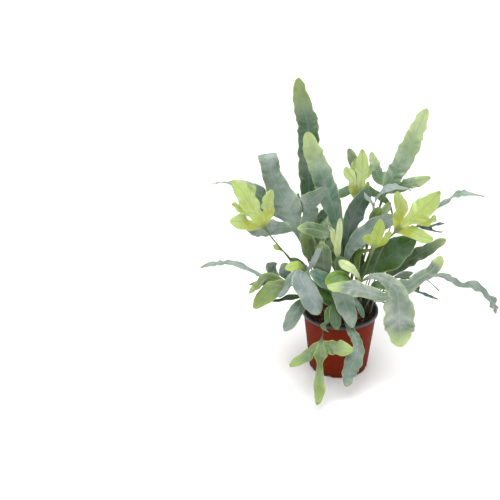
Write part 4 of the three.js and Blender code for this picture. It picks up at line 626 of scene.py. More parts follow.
def leaf_material(tone, settings):
    """A leathery fern blade under a waxy bloom, which makes it satin, and bluish where it is full grown.
    Its ribs are pale, its side veins faint and netted, and its new growth lime. Light comes through it."""
    blade, new, rib, _ = TONES[tone]
    material, add, place = start_material(f"waxy_fern_leaf_{tone}")
    leaf = add("ShaderNodeSeparateXYZ", {"Vector": add("ShaderNodeUVMap", uv_map="leaf")["UV"]})
    across = add("ShaderNodeMath", {"Value": leaf["X"]}, operation="ABSOLUTE")["Value"]
    course = vein_course(add, place, across, leaf["Y"])
    marks = {name: add("ShaderNodeAttribute", attribute_name=name)["Fac"] for name in MARKS}
    veins = vein_share(add, place, course, settings.vein_spacing)
    ribs = rib_share(add, across)
    # Patches where the bloom is thick or rubbed off, 30 mm across, and a 2 mm grain
    patches = add("ShaderNodeTexNoise", {"Vector": place, "Scale": 34, "Detail": 4, "Roughness": 0.6})["Fac"]
    grain = add("ShaderNodeTexNoise", {"Vector": place, "Scale": 500, "Detail": 3})["Fac"]
    cloudy, grainy, satin = (
        add("ShaderNodeMapRange", {
            "Value": pattern, "From Min": 0.3, "From Max": 0.7, "To Min": low, "To Max": high,
        })["Result"]
        for pattern, low, high in ((patches, 0.92, 1.08), (grain, -0.05, 0.05), (patches, 0.34, 0.5))
    )
    bloom = bloom_share(add, place, course, leaf["X"], patches, marks["basal"])
    bloomed = bloomed_colour(add, linear(blade), bloom)
    grown = new_growth(add, marks["young"], patches)
    colour = add(
        "ShaderNodeMix", {"Factor_Float": grown, "A_Color": bloomed, "B_Color": linear(new)}, **COLOURS
    )["Result_Color"]
    # Painted light and shade: the shade mark makes a frond's colour lighter, or darker and deeper, than its
    # tone, partly as its own tone and partly standing in for how much light reaches it among the others
    uneven = add("ShaderNodeMath", {"Value": cloudy, "Value_001": grainy}, operation="ADD")["Value"]
    light = add("ShaderNodeMath", {"Value": uneven, "Value_001": marks["shade"]}, operation="MULTIPLY")
    depth = add("ShaderNodeMapRange", {
        "Value": marks["shade"], "From Min": 0.7, "From Max": 1.3, "To Min": 1.4, "To Max": 0.6,
    })["Result"]
    colour = add(
        "ShaderNodeHueSaturation", {"Color": colour, "Value": light["Value"], "Saturation": depth}
    )["Color"]
    for share, most, tint in (
        (veins, 0.1, linear(rib)),
        (marks["under"], 0.4, linear(rib)),
        (ribs, 0.42, linear(rib)),
        (marks["margin"], 0.5, settings.margin),
    ):
        amount = add("ShaderNodeMath", {"Value": share, "Value_001": most}, operation="MULTIPLY")["Value"]
        colour = add(
            "ShaderNodeMix", {"Factor_Float": amount, "A_Color": colour, "B_Color": tint}, **COLOURS
        )["Result_Color"]
    stipe = stipe_colour(add, place, settings)
    colour = add(
        "ShaderNodeMix", {"Factor_Float": marks["leafy"], "A_Color": stipe, "B_Color": colour}, **COLOURS
    )["Result_Color"]
    # Veins and ribs are sunk into the upper side
    height = grain
    for share, rise in ((veins, -0.5), (ribs, -1.2)):
        height = add(
            "ShaderNodeMath", {"Value": share, "Value_001": rise, "Value_002": height}, **ADDED
        )["Value"]
    relief = add("ShaderNodeBump", {"Height": height, "Strength": 0.35, "Distance": 0.0004})["Normal"]
    finish_material(add, {
        "Base Color": colour, "Roughness": satin, "Normal": relief, "IOR": 1.42,
        "Subsurface Weight": 0.3, "Subsurface Radius": (0.6, 1.0, 0.25), "Subsurface Scale": 0.0009,
        "Sheen Weight": 0.12, "Sheen Roughness": 0.5, "Sheen Tint": linear("#d5e4e6"),
    })
    return material


def new_piece(name, mesh, *materials):
    """An object at the origin, in the scene, with its materials on it."""
    if name in bpy.data.objects:
        raise RuntimeError(f"{name} is already made")
    piece = bpy.data.objects.new(name, mesh)
    bpy.context.scene.collection.objects.link(piece)
    for material in materials:
        mesh.materials.append(material)
    return piece


def set_on_part(piece, slot, *nodes):
    """Fixes a finished piece to the part, in place of the nodes that it stands for."""
    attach(piece, "root")
    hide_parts(*nodes)


def mesh_from(name, points, faces):
    """A smooth mesh of points in millimetres."""
    mesh = bpy.data.meshes.new(name)
    mesh.from_pydata((np.asarray(points, float) * MM).tolist(), [], faces)
    mesh.polygons.foreach_set("use_smooth", [True] * len(mesh.polygons))
    return mesh


def finished_mesh(piece):
    """The mesh that an object's modifiers give, with the modifiers taken off."""
    evaluated = piece.evaluated_get(bpy.context.evaluated_depsgraph_get())
    mesh = bpy.data.meshes.new_from_object(evaluated)
    piece.modifiers.clear()
    return mesh


def drop(piece):
    """Removes an object that was only needed to make another one, with its mesh."""
    mesh = piece.data
    bpy.data.objects.remove(piece)
    bpy.data.meshes.remove(mesh)


def unit(vectors):
    return vectors / np.linalg.norm(vectors, axis=-1, keepdims=True)


def square_to(axis, vector):
    """The part of a vector that is square to an axis, at unit length."""
    return unit(vector - axis * np.sum(axis * vector, axis=-1, keepdims=True))


def smooth_share(value, low, high):
    """How far a value is from low to high, from 0 to 1, starting and ending gently."""
    share = np.clip((value - low) / (high - low), 0, 1)
    return share * share * (3 - 2 * share)


def distances_along(line):
    return np.append(0, np.cumsum(np.linalg.norm(np.diff(line, axis=0), axis=1)))


def catmull_rom(knots, samples):
    """A centripetal curve through knots, at places evenly spaced in the count of knots."""
    knots = np.asarray(knots, float)
    ends = np.vstack([2 * knots[0] - knots[1], knots, 2 * knots[-1] - knots[-2]])
    gaps = np.sqrt(np.linalg.norm(np.diff(ends, axis=0), axis=1))
    place = np.linspace(0, len(knots) - 1, samples + 1)
    i = np.minimum(place.astype(int), len(knots) - 2)
    before, start, end, after = (ends[i + k] for k in range(4))
    gap_before, gap, gap_after = (gaps[i + k][:, None] for k in range(3))
    leave = (start - before) / gap_before - (end - before) / (gap_before + gap) + (end - start) / gap
    arrive = (end - start) / gap - (after - start) / (gap + gap_after) + (after - end) / gap_after
    leave, arrive = leave * gap, arrive * gap
    t = (place - i)[:, None]
    square = 3 * (end - start) - 2 * leave - arrive
    cube = 2 * (start - end) + leave + arrive
    return start + t * (leave + t * (square + t * cube))


class Station:
    """A place on a ribbon: where it is, which way it runs and faces, and how wide it is there."""

    def __init__(self, distance, point, along, face, half, width):
        self.distance = distance
        self.point = point
        self.along = along
        self.face = face
        self.half = half
        self.width = width
        self.right = np.cross(along, face)


class Ribbon:
    """A curve through points of (x, y, z, width). Its last point is the tip."""

    def __init__(self, points):
        points = np.array(points, float)
        self.knots = len(points)
        self.line = catmull_rom(points[:, :3], CURVE_SAMPLES)
        self.along = unit(np.gradient(self.line, axis=0))
        self.reach = distances_along(self.line)
        self.length = self.reach[-1]
        place = np.linspace(0, self.knots - 1, CURVE_SAMPLES + 1)
        i = np.minimum(place.astype(int), self.knots - 2)
        blend = smooth_share(place - i, 0, 1)
        self.widths = points[i, 3] * (1 - blend) + points[i + 1, 3] * blend
        self.faces = np.zeros_like(self.line)

    def carry_faces(self, face, start):
        """Carries the way that a leaf faces along the curve without a twist, both ways from one place."""
        first = round(start / self.length * CURVE_SAMPLES)
        self.faces[first] = square_to(self.along[first], np.array(face, float))
        for i in range(first + 1, CURVE_SAMPLES + 1):
            self.faces[i] = square_to(self.along[i], self.faces[i - 1])
        for i in range(first - 1, -1, -1):
            self.faces[i] = square_to(self.along[i], self.faces[i + 1])

    def turn_faces(self, face):
        """Turns the faces little by little until the last one looks the given way."""
        share = smooth_share(np.linspace(0, 1, CURVE_SAMPLES + 1), 0, 1)[:, None]
        self.faces = self.faces * (1 - share) + np.array(face, float) * share

    def distance_at(self, place):
        """Distance along the ribbon of a place that is counted in its points."""
        return np.interp(place / (self.knots - 1) * CURVE_SAMPLES, np.arange(CURVE_SAMPLES + 1), self.reach)

    def station(self, distance):
        sample = np.interp(distance, self.reach, np.arange(CURVE_SAMPLES + 1))
        i = min(int(sample), CURVE_SAMPLES - 1)
        part = sample - i
        point, along, face, width = (
            values[i] * (1 - part) + values[i + 1] * part
            for values in (self.line, self.along, self.faces, self.widths)
        )
        into_tip = max(0, 1 - (self.length - distance) / (width * TIP_ROUND))
        half = width / 2 * math.sqrt(1 - into_tip * into_tip)
        along = unit(along)
        return Station(distance, point, along, square_to(along, face), half, width)


def even_steps(start, end, step):
    count = max(1, round((end - start) / step))
    return [start + (end - start) * i / count for i in range(count)]


def with_middles(distances):
    """The same distances, with the middle of each gap between them."""
    distances = np.array(distances)
    return np.insert(distances, range(1, len(distances)), (distances[:-1] + distances[1:]) / 2)


class Row:
    """A row of a sheet: its points' numbers, and their places across and along their own blade."""

    def __init__(self, numbers, across, along):
        self.numbers = numbers
        self.flat = np.stack([across, np.full(len(SIDES), float(along))], axis=1)


class Sheet:
    """One frond as a branching sheet of quads, without thickness."""

    def __init__(self, frond):
        self.spread = TONES[frond.tone][3]
        self.wave = frond.wave
        self.lead = frond.lead
        self.points = []
        self.marks = {name: [] for name in ("side", "half", "along", "young", "leafy", "basal")}
        self.faces = []
        self.flats = []
        self.branches = []

    def add_points(self, points, *marks):
        """Adds points with the marks that they all share or that each has, and gives their numbers."""
        first = len(self.points)
        self.points.extend(points)
        for name, values in zip(self.marks, marks):
            self.marks[name].extend(np.broadcast_to(values, len(points)))
        return list(range(first, len(self.points)))

    def across_points(self, at, across, half, phase, grown):
        """The points of a row. Grown is 0 where no wave has begun and 1 where the margin waves in full."""
        turn = FULL_TURN * at.distance / WAVE_LENGTH + phase + RIGHT_SHIFT * (SIDES > 0)
        lift = half * grown * (WAVE_LIFT * np.sin(turn) - BLADE_ARCH) * SIDES**2
        crinkle = CRINKLE * (self.wave - 1) * np.sin(turn * CRINKLE_RATE)
        swell = 1 + grown * (MARGIN_SWELL * np.sin(turn * SWELL_RATE + 1) + crinkle)
        return at.point + np.outer(half * swell * SIDES, across) + np.outer(lift, at.face)

    def young(self, share, side):
        """The share of new growth at a share of the way along a lobe."""
        least, begin, whole, edge = self.spread
        return np.clip(np.maximum(least, smooth_share(share, begin, whole)) + edge * np.abs(side) ** 3, 0, 1)

    def add_row(self, at, points, half, share):
        leafy = smooth_share(at.width, LEAFY_FROM, LEAFY_WHOLE)
        basal = 1 - smooth_share(share, 0, BASAL_SHARE)
        numbers = self.add_points(points, SIDES, half, at.distance, self.young(share, SIDES), leafy, basal)
        return Row(numbers, SIDES * half, at.distance)

    def add_face(self, numbers, flats):
        self.faces.append(numbers)
        self.flats.extend(flats)
        self.branches.extend([(NO_BRANCH, 0)] * len(numbers))

    def join(self, row, following):
        for j in range(len(SIDES) - 1):
            pair = slice(j, j + 2)
            numbers = row.numbers[pair] + following.numbers[pair][::-1]
            self.add_face(numbers, [*row.flat[pair], *following.flat[pair][::-1]])

    def close_tip(self, row, ribbon):
        young = self.young(1, 0)
        (tip,) = self.add_points([ribbon.line[-1]], 0, 0, ribbon.length, young, 1, 0)
        for j in range(len(SIDES) - 1):
            pair = slice(j, j + 2)
            self.add_face(row.numbers[pair] + [tip], [*row.flat[pair], (0, ribbon.length)])


class Rachis:
    """The strip along a frond's midrib, from the end in the soil to the tip."""

    def __init__(self, sheet, frond, phase):
        foot = (*frond.root, SOIL_TOP + ROOT_SHOW, 2 * STIPE_RADIUS)
        midrib = (foot, *frond.midrib)
        self.sheet = sheet
        self.ribbon = ribbon = Ribbon(midrib)
        last_bare = max(i for i, point in enumerate(midrib) if point[3] <= LEAFY_FROM)
        blade_from = ribbon.distance_at(last_bare)
        ribbon.carry_faces(frond.face, (blade_from + ribbon.length) / 2)
        tip_from = ribbon.length - TIP_STEP
        steps = even_steps(0, blade_from, STIPE_STEP) + even_steps(blade_from, tip_from, BLADE_STEP)
        self.stations = [ribbon.station(distance) for distance in with_middles([*steps, tip_from])]
        self.rows = []
        self.taken = set()
        row = self.buried_row(self.stations[0], phase)
        for at in self.stations:
            grown = smooth_share(at.width, LEAFY_FROM, LEAFY_WHOLE)
            share = (at.distance - blade_from) / (ribbon.length - blade_from)
            points = sheet.across_points(at, at.right, at.half, phase, grown)
            following = sheet.add_row(at, points, at.half, share)
            sheet.join(row, following)
            self.rows.append(following)
            row = following
        sheet.close_tip(row, ribbon)

    def buried_row(self, foot, phase):
        """The end of the stipe, straight below its foot."""
        up = np.array([0.0, 0.0, 1.0])
        point = np.array([*foot.point[:2], SOIL_TOP - ROOT_DEPTH])
        end = Station(0, point, up, square_to(up, foot.face), STIPE_RADIUS, foot.width)
        points = self.sheet.across_points(end, end.right, STIPE_RADIUS, phase, 0)
        return self.sheet.add_row(end, points, STIPE_RADIUS, 0)

    def take_station(self, distance, is_right):
        """A lobe takes four steps of the margin, about the nearest station where they are free."""
        inner = range(2, len(self.stations) - 5, 2)
        free = [i for i in inner if not {(is_right, i), (is_right, i + 2)} & self.taken]
        middle = min(free, key=lambda i: abs(self.stations[i].distance - distance))
        self.taken |= {(is_right, middle), (is_right, middle + 2)}
        return middle

    def clearing_move(self, is_right, point, clearance):
        """The move that takes a point of a lobe clear of the margin of the blade that carries it."""
        ahead = next((i for i, at in enumerate(self.stations) if at.along @ (at.point - point) > 0), 0)
        if ahead < 1:
            return np.zeros(3)
        back, front = self.stations[ahead - 1], self.stations[ahead]
        past, left = back.along @ (point - back.point), front.along @ (front.point - point)
        share, columns = past / (past + left), (-1 if is_right else 0, len(SIDES) // 2)
        margin, middle = (self.cut(ahead, column, share) for column in columns)
        out = margin - middle
        size = np.linalg.norm(out)
        short = size + clearance - (point - middle) @ out / size
        return out / size * max(0, short)

    def cut(self, ahead, column, share):
        """Where the line of a column is, at a share of the way between the two stations about a place."""
        start, end = (self.sheet.points[self.rows[i].numbers[column]] for i in (ahead - 1, ahead))
        return start * (1 - share) + end * share


def mark_branch(rachis, middle, is_right):
    """Marks a rib that runs from the midrib to the middle of a lobe's foot, on the faces that it crosses."""
    sheet = rachis.sheet
    side = 1 if is_right else -1
    at = rachis.stations[middle]
    start = np.array([0, at.distance - at.half])
    way = unit(np.array([side * at.half, at.distance]) - start)
    for first in range(0, 4 * len(rachis.stations) * (len(SIDES) - 1), 4):
        flats = np.array(sheet.flats[first : first + 4])
        across, along = flats.mean(axis=0)
        if across * side > 0 and start[1] - BLADE_STEP < along < at.distance + BLADE_STEP:
            off = flats - start
            sheet.branches[first : first + 4] = list(np.stack([off @ (-way[1], way[0]), off @ way], axis=1))


def add_lobe(rachis, lobe, phase):
    """Adds a strip that grows from the margin of the rachis."""
    sheet = rachis.sheet
    first = np.array(lobe.points[0], float)
    distance = rachis.ribbon.distance_at(lobe.at)
    close = min(rachis.stations[::2], key=lambda at: abs(at.distance - distance))
    is_right = (first[:3] - close.point) @ close.right > 0
    middle = rachis.take_station(distance, is_right)
    run = range(middle + 2, middle - 3, -1) if is_right else range(middle - 2, middle + 3)
    numbers = [rachis.rows[i].numbers[-1 if is_right else 0] for i in run]
    left, centre, right = (sheet.points[numbers[j]] for j in (0, 2, -1))
    ribbon = Ribbon([(*centre, first[3]), *lobe.points])
    ribbon.carry_faces(rachis.stations[middle].face, 0)
    if lobe.tip_face:
        ribbon.turn_faces(lobe.tip_face)
    foot_half, foot_across = np.linalg.norm(right - left) / 2, unit(right - left)
    row = Row(numbers, SIDES * foot_half, 0)
    tip_from = ribbon.length - TIP_STEP
    steps = with_middles([*even_steps(0, tip_from, BLADE_STEP), tip_from])[1:]
    for distance in steps:
        at = ribbon.station(distance)
        grown = smooth_share(distance, 0, LOBE_BLEND)
        across = unit(foot_across * (1 - grown) + at.right * grown)
        half = foot_half * (1 - grown) + at.half * grown
        points = sheet.across_points(at, across, half, phase, grown)
        near = min(1, distance / steps[1])
        points += rachis.clearing_move(is_right, points[2], near * (LOBE_GAP + at.half / 2))
        points = [point + rachis.clearing_move(is_right, point, near * LOBE_GAP) for point in points]
        following = sheet.add_row(at, points, half, sheet.lead * distance / ribbon.length)
        sheet.join(row, following)
        row = following
    sheet.close_tip(row, ribbon)
    mark_branch(rachis, middle, is_right)


def frond_sheet(frond, phase):
    """The sheet of one frond: a strip along the midrib, and one that grows from it for each lobe."""
    sheet = Sheet(frond)
    rachis = Rachis(sheet, frond, phase)
    for i, lobe in enumerate(frond.lobes):
        add_lobe(rachis, lobe, phase + LOBE_SHIFT * (i + 1))
    return sheet


def store_mark(mesh, name, values):
    mesh.attributes.new(name, "FLOAT", "POINT").data.foreach_set("value", np.asarray(values, np.float32))


def store_map(mesh, name, flats):
    mesh.uv_layers.new(name=name).uv.foreach_set("vector", np.asarray(flats, np.float32).ravel())


def smooth_sheet(sheet, name, levels):
    """The sheet's mesh after its subdivision, with its marks and its two flat maps."""
    mesh = mesh_from(name, sheet.points, sheet.faces)
    for mark, values in sheet.marks.items():
        store_mark(mesh, mark, values)
    for layer, flats in zip(MAPS, (sheet.flats, sheet.branches)):
        store_map(mesh, layer, np.array(flats) * MM)
    carrier = new_piece(name, mesh)
    smooth = carrier.modifiers.new("smooth", "SUBSURF")
    smooth.levels = smooth.render_levels = levels
    smooth.uv_smooth = "NONE"
    finished = finished_mesh(carrier)
    drop(carrier)
    return finished


def read(collection, field, width):
    """A field of a mesh collection as an array with a row for each item."""
    values = np.zeros(len(collection) * width, np.int32 if field == "vertex_index" else np.float32)
    collection.foreach_get(field, values)
    return values.reshape(-1, width) if width > 1 else values


def half_thicknesses(marks, settings):
    """How far the upper and the lower face stand off the sheet: a blade is thin, with a groove over its
    midrib and a ridge under it, and a stipe is nearly round."""
    side, leafy, half = marks["side"], marks["leafy"], marks["half"]
    stipe = STIPE_RADIUS * MM * np.sqrt(np.clip(1.02 - side**2, 0, 1)) * 0.9
    edge = smooth_share(np.abs(side), 0.5, 1)
    blade = settings.blade_thickness / 2 * (1 - edge) + settings.margin_thickness / 2 * edge
    beside = np.clip(1 - np.abs(side) * half * MM / settings.rib_width, 0, 1)
    upper = blade - settings.rib_rise * 0.4 * beside
    lower = blade + settings.rib_rise * beside
    return [stipe * (1 - leafy) + face * leafy for face in (upper, lower)]


def pleats(marks, phase, wave, settings):
    """How far a blade swells off its flat shape: pleats that slant outwards with the side veins, uneven in
    their length and height, and higher towards the margin."""
    side, half = marks["side"], marks["half"] * MM
    slanted = marks["along"] * MM - PLEAT_SLANT * np.abs(side) * half
    turn = FULL_TURN * slanted / settings.ripple_length + phase + RIGHT_SHIFT * (side > 0)
    uneven = np.clip(0.5 + HEIGHT_VARIES * np.sin(turn * HEIGHT_RATE + 2 * phase), 0.1, 1)
    rise = np.abs(side) ** PLEAT_RISE
    height = settings.ripple_height * wave * half * rise * uneven * marks["leafy"]
    return height * np.sin(turn + LENGTH_VARIES * np.sin(turn * LENGTH_RATE))


def frond_mesh(sheet, name, phase, settings):
    """A frond with its fine ripples and its thickness, as one closed mesh."""
    thin = smooth_sheet(sheet, f"{name}_sheet", settings.smoothness)
    marks = {mark: read(thin.attributes[mark].data, "value", 1) for mark in sheet.marks}
    points, normals = (read(thin.vertices, field, 3) for field in ("co", "normal"))
    quads = read(thin.loops, "vertex_index", 1).reshape(-1, 4)
    maps = {layer: read(thin.uv_layers[layer].uv, "vector", 2).reshape(-1, 4, 2) for layer in MAPS}
    bpy.data.meshes.remove(thin)
    points = points + normals * pleats(marks, phase, sheet.wave, settings)[:, None]
    upper, lower = half_thicknesses(marks, settings)
    shell = np.vstack([points + normals * upper[:, None], points - normals * lower[:, None]])
    count = len(points)
    rim, corners = rim_of(quads)
    below = quads[:, ::-1] + count
    mesh = mesh_from(name, shell / MM, np.vstack([quads, below, rim]).tolist())
    for layer, flats in maps.items():
        store_map(mesh, layer, np.concatenate([flats, flats[:, ::-1], flats.reshape(-1, 2)[corners]]))
    marks["margin"] = smooth_share(np.abs(marks["side"]), 0.9, 1) * marks["leafy"]
    for mark in ("young", "leafy", "basal", "margin"):
        store_mark(mesh, mark, np.tile(marks[mark], 2))
    store_mark(mesh, "under", np.repeat([0, 1], count))
    return mesh


def rim_of(quads):
    """The quads that close the outline of a sheet's two faces, and the corners whose flat places they
    take."""
    count = quads.max() + 1
    starts, ends = quads.ravel(), np.roll(quads, -1, axis=1).ravel()
    corners = np.arange(len(starts))
    corners_after = np.roll(corners.reshape(-1, 4), -1, axis=1).ravel()
    open_edges = ~np.isin(starts * count + ends, ends * count + starts)
    start, end = starts[open_edges], ends[open_edges]
    here, there = corners[open_edges], corners_after[open_edges]
    rim = np.stack([end, start, start + count, end + count], axis=1)
    return rim, np.stack([there, here, here, there], axis=1)


def ring_angles(sides):
    return np.arange(sides) / sides * FULL_TURN


def faces_between(first, sides):
    """The faces from a ring of points to the next one, the first point being numbered."""
    after = [*range(first + 1, first + sides), first]
    return [(i, j, j + sides, i + sides) for i, j in zip(range(first, first + sides), after)]


def capped_faces(last, sides):
    """The faces of a closed body of rings between two end points, which are numbered 0 and last."""
    faces = [(0, 1 + (k + 1) % sides, 1 + k) for k in range(sides)]
    for first in range(1, last - sides, sides):
        faces += faces_between(first, sides)
    return faces + [(last, last - sides + k, last - sides + (k + 1) % sides) for k in range(sides)]


def lathe(section, sides):
    """Points and faces of a closed body of revolution. Its section of (radius, height) starts and ends on
    the axis, and runs from the middle underneath round the outside."""
    angles = ring_angles(sides)
    circle = np.stack([np.cos(angles), np.sin(angles)], axis=1)
    rings = [np.column_stack([radius * circle, np.full(sides, height)]) for radius, height in section[1:-1]]
    points = np.vstack([[(0, 0, section[0][1])], *rings, [(0, 0, section[-1][1])]])
    return points, capped_faces(len(points) - 1, sides)


def rounded(corners):
    """A section with its corners (radius, height, rounding) turned into short curves."""
    section = [corners[0][:2]]
    for before, corner, after in zip(corners, corners[1:], corners[2:]):
        here = np.array(corner[:2], float)
        reach = [np.array(other[:2]) - here for other in (before, after)]
        start, end = (here + way * min(CORNER_SHARE, corner[2] / np.linalg.norm(way)) for way in reach)
        for t in np.linspace(0, 1, CORNER_POINTS if corner[2] else 1):
            section.append(tuple((1 - t) ** 2 * start + 2 * t * (1 - t) * here + t**2 * end))
    return [*section, corners[-1][:2]]


def pot_section():
    """The pot's corners, from the middle underneath out to its foot, up to its lip and down inside."""
    foot_of_lip = POT_HEIGHT - LIP_HEIGHT
    inside, ring = SHOULDER_RADIUS - WALL, BASE_RADIUS - FOOT_RING
    return rounded([
        (0, FOOT_LIFT, 0), (ring - FOOT_SLOPE, FOOT_LIFT, 1.2), (ring, 0, 1.2),
        (BASE_RADIUS, 0, 1.8), (SHOULDER_RADIUS, foot_of_lip, 0.6), (RIM_RADIUS, foot_of_lip + 0.3, 0.9),
        (RIM_RADIUS, POT_HEIGHT, 1), (inside + 1, POT_HEIGHT, 0.9), (inside, foot_of_lip - 1, 1.2),
        (BASE_RADIUS - WALL, FLOOR, 2), (0, FLOOR + 0.4, 0),
    ])


def notch_cutter():
    """The arches that the drain notches cut through the foot of the wall, as one mesh."""
    arch = np.linspace(0, FULL_TURN, NOTCH_SIDES, endpoint=False)
    outline = np.column_stack([
        np.zeros(NOTCH_SIDES), NOTCH_WIDTH / 2 * np.cos(arch), NOTCH_HEIGHT * np.sin(arch),
    ])
    points, faces = [], []
    for k in range(DRAIN_NOTCHES):
        angle = (k + 0.5) / DRAIN_NOTCHES * FULL_TURN
        cos, sin = math.cos(angle), math.sin(angle)
        turn = np.array([[cos, sin, 0], [-sin, cos, 0], [0, 0, 1]])
        first = len(points)
        for radius in (BASE_RADIUS - NOTCH_DEPTH, BASE_RADIUS + NOTCH_DEPTH):
            points.extend((outline + (radius, 0, 0)) @ turn)
        ring = range(first, first + NOTCH_SIDES)
        faces += [tuple(ring[::-1]), tuple(i + NOTCH_SIDES for i in ring), *faces_between(first, NOTCH_SIDES)]
    return new_piece("notch_cutter", mesh_from("notch_cutter", points, faces))


def make_pot(settings):
    """One thin drawn pot: terracotta outside, and black inside and over its lip, the black lightened to a
    blue-grey as a painted reflection of the light on the lip.
    """
    turned = mesh_from("thermoformed_pot", *lathe(pot_section(), settings.sides))
    piece = new_piece("thermoformed_pot", turned)
    cutter = notch_cutter()
    cut = piece.modifiers.new("drain_notches", "BOOLEAN")
    cut.object = cutter
    cut.solver = "EXACT"
    piece.data = mesh = finished_mesh(piece)
    drop(cutter)
    for name, colour, roughness, gloss in (
        ("drawn_polypropylene_terracotta", settings.outside, 0.55, 0.06),
        # The black is lightened to a blue-grey as a painted reflection
        ("drawn_polypropylene_black", settings.inside, 0.36, 0.5),
    ):
        mesh.materials.append(pot_material(name, colour, roughness, gloss))
    lip = (POT_HEIGHT - LIP_HEIGHT + 0.2) * MM
    floor_below, notches_below = 0.01, 0.0025
    for face in mesh.polygons:
        x, y, z = face.center
        inward = face.normal.x * x + face.normal.y * y < -0.2 * math.hypot(x, y)
        on_floor = face.normal.z > 0.5 and z < floor_below
        face.material_index = int(z > lip or on_floor or (inward and z > notches_below))
        face.use_smooth = True
    mesh.set_sharp_from_angle(angle=math.radians(CREASE_ANGLE))
    set_on_part(piece, "pot", "pot")


def soil_height(x, y):
    height = SOIL_TOP
    for rise, length_x, length_y, shift in SOIL_WAVES:
        height = height + rise * np.sin(FULL_TURN * x / length_x + shift) * np.cos(FULL_TURN * y / length_y)
    return height


def rough(points, size, height):
    """How high a rough surface stands at each point, for lumps of a size and a height with finer ones on
    them."""
    fade, step, octaves = 0.9, 2.0, 4
    return np.array([noise.fractal(Vector(at) / size, fade, step, octaves) * height for at in points])


def soil_points():
    """The soil's section and its top, which is lumpy and falls away a little where it meets the pot."""
    slope = (SHOULDER_RADIUS - BASE_RADIUS) / (POT_HEIGHT - LIP_HEIGHT)
    sides = [(BASE_RADIUS + slope * z - WALL - SOIL_GAP, z) for z in (*SOIL_HEIGHTS, SOIL_TOP)]
    reach, foot = sides.pop()[0], FLOOR + SOIL_LIFT
    section = [(0, foot), (BASE_RADIUS - 2 * WALL, foot), *sides]
    section += [(reach * i / SOIL_RINGS, SOIL_TOP) for i in range(SOIL_RINGS, -1, -1)]
    points, faces = lathe(section, SOIL_SIDES)
    top = points[:, 2] == SOIL_TOP
    x, y = points[top, :2].T
    edge = smooth_share(np.hypot(x, y), reach - EDGE_WIDTH, reach)
    points[top, 2] = soil_height(x, y) + rough(points[top], *SOIL_LUMPS) - EDGE_FALL * edge
    return points, faces


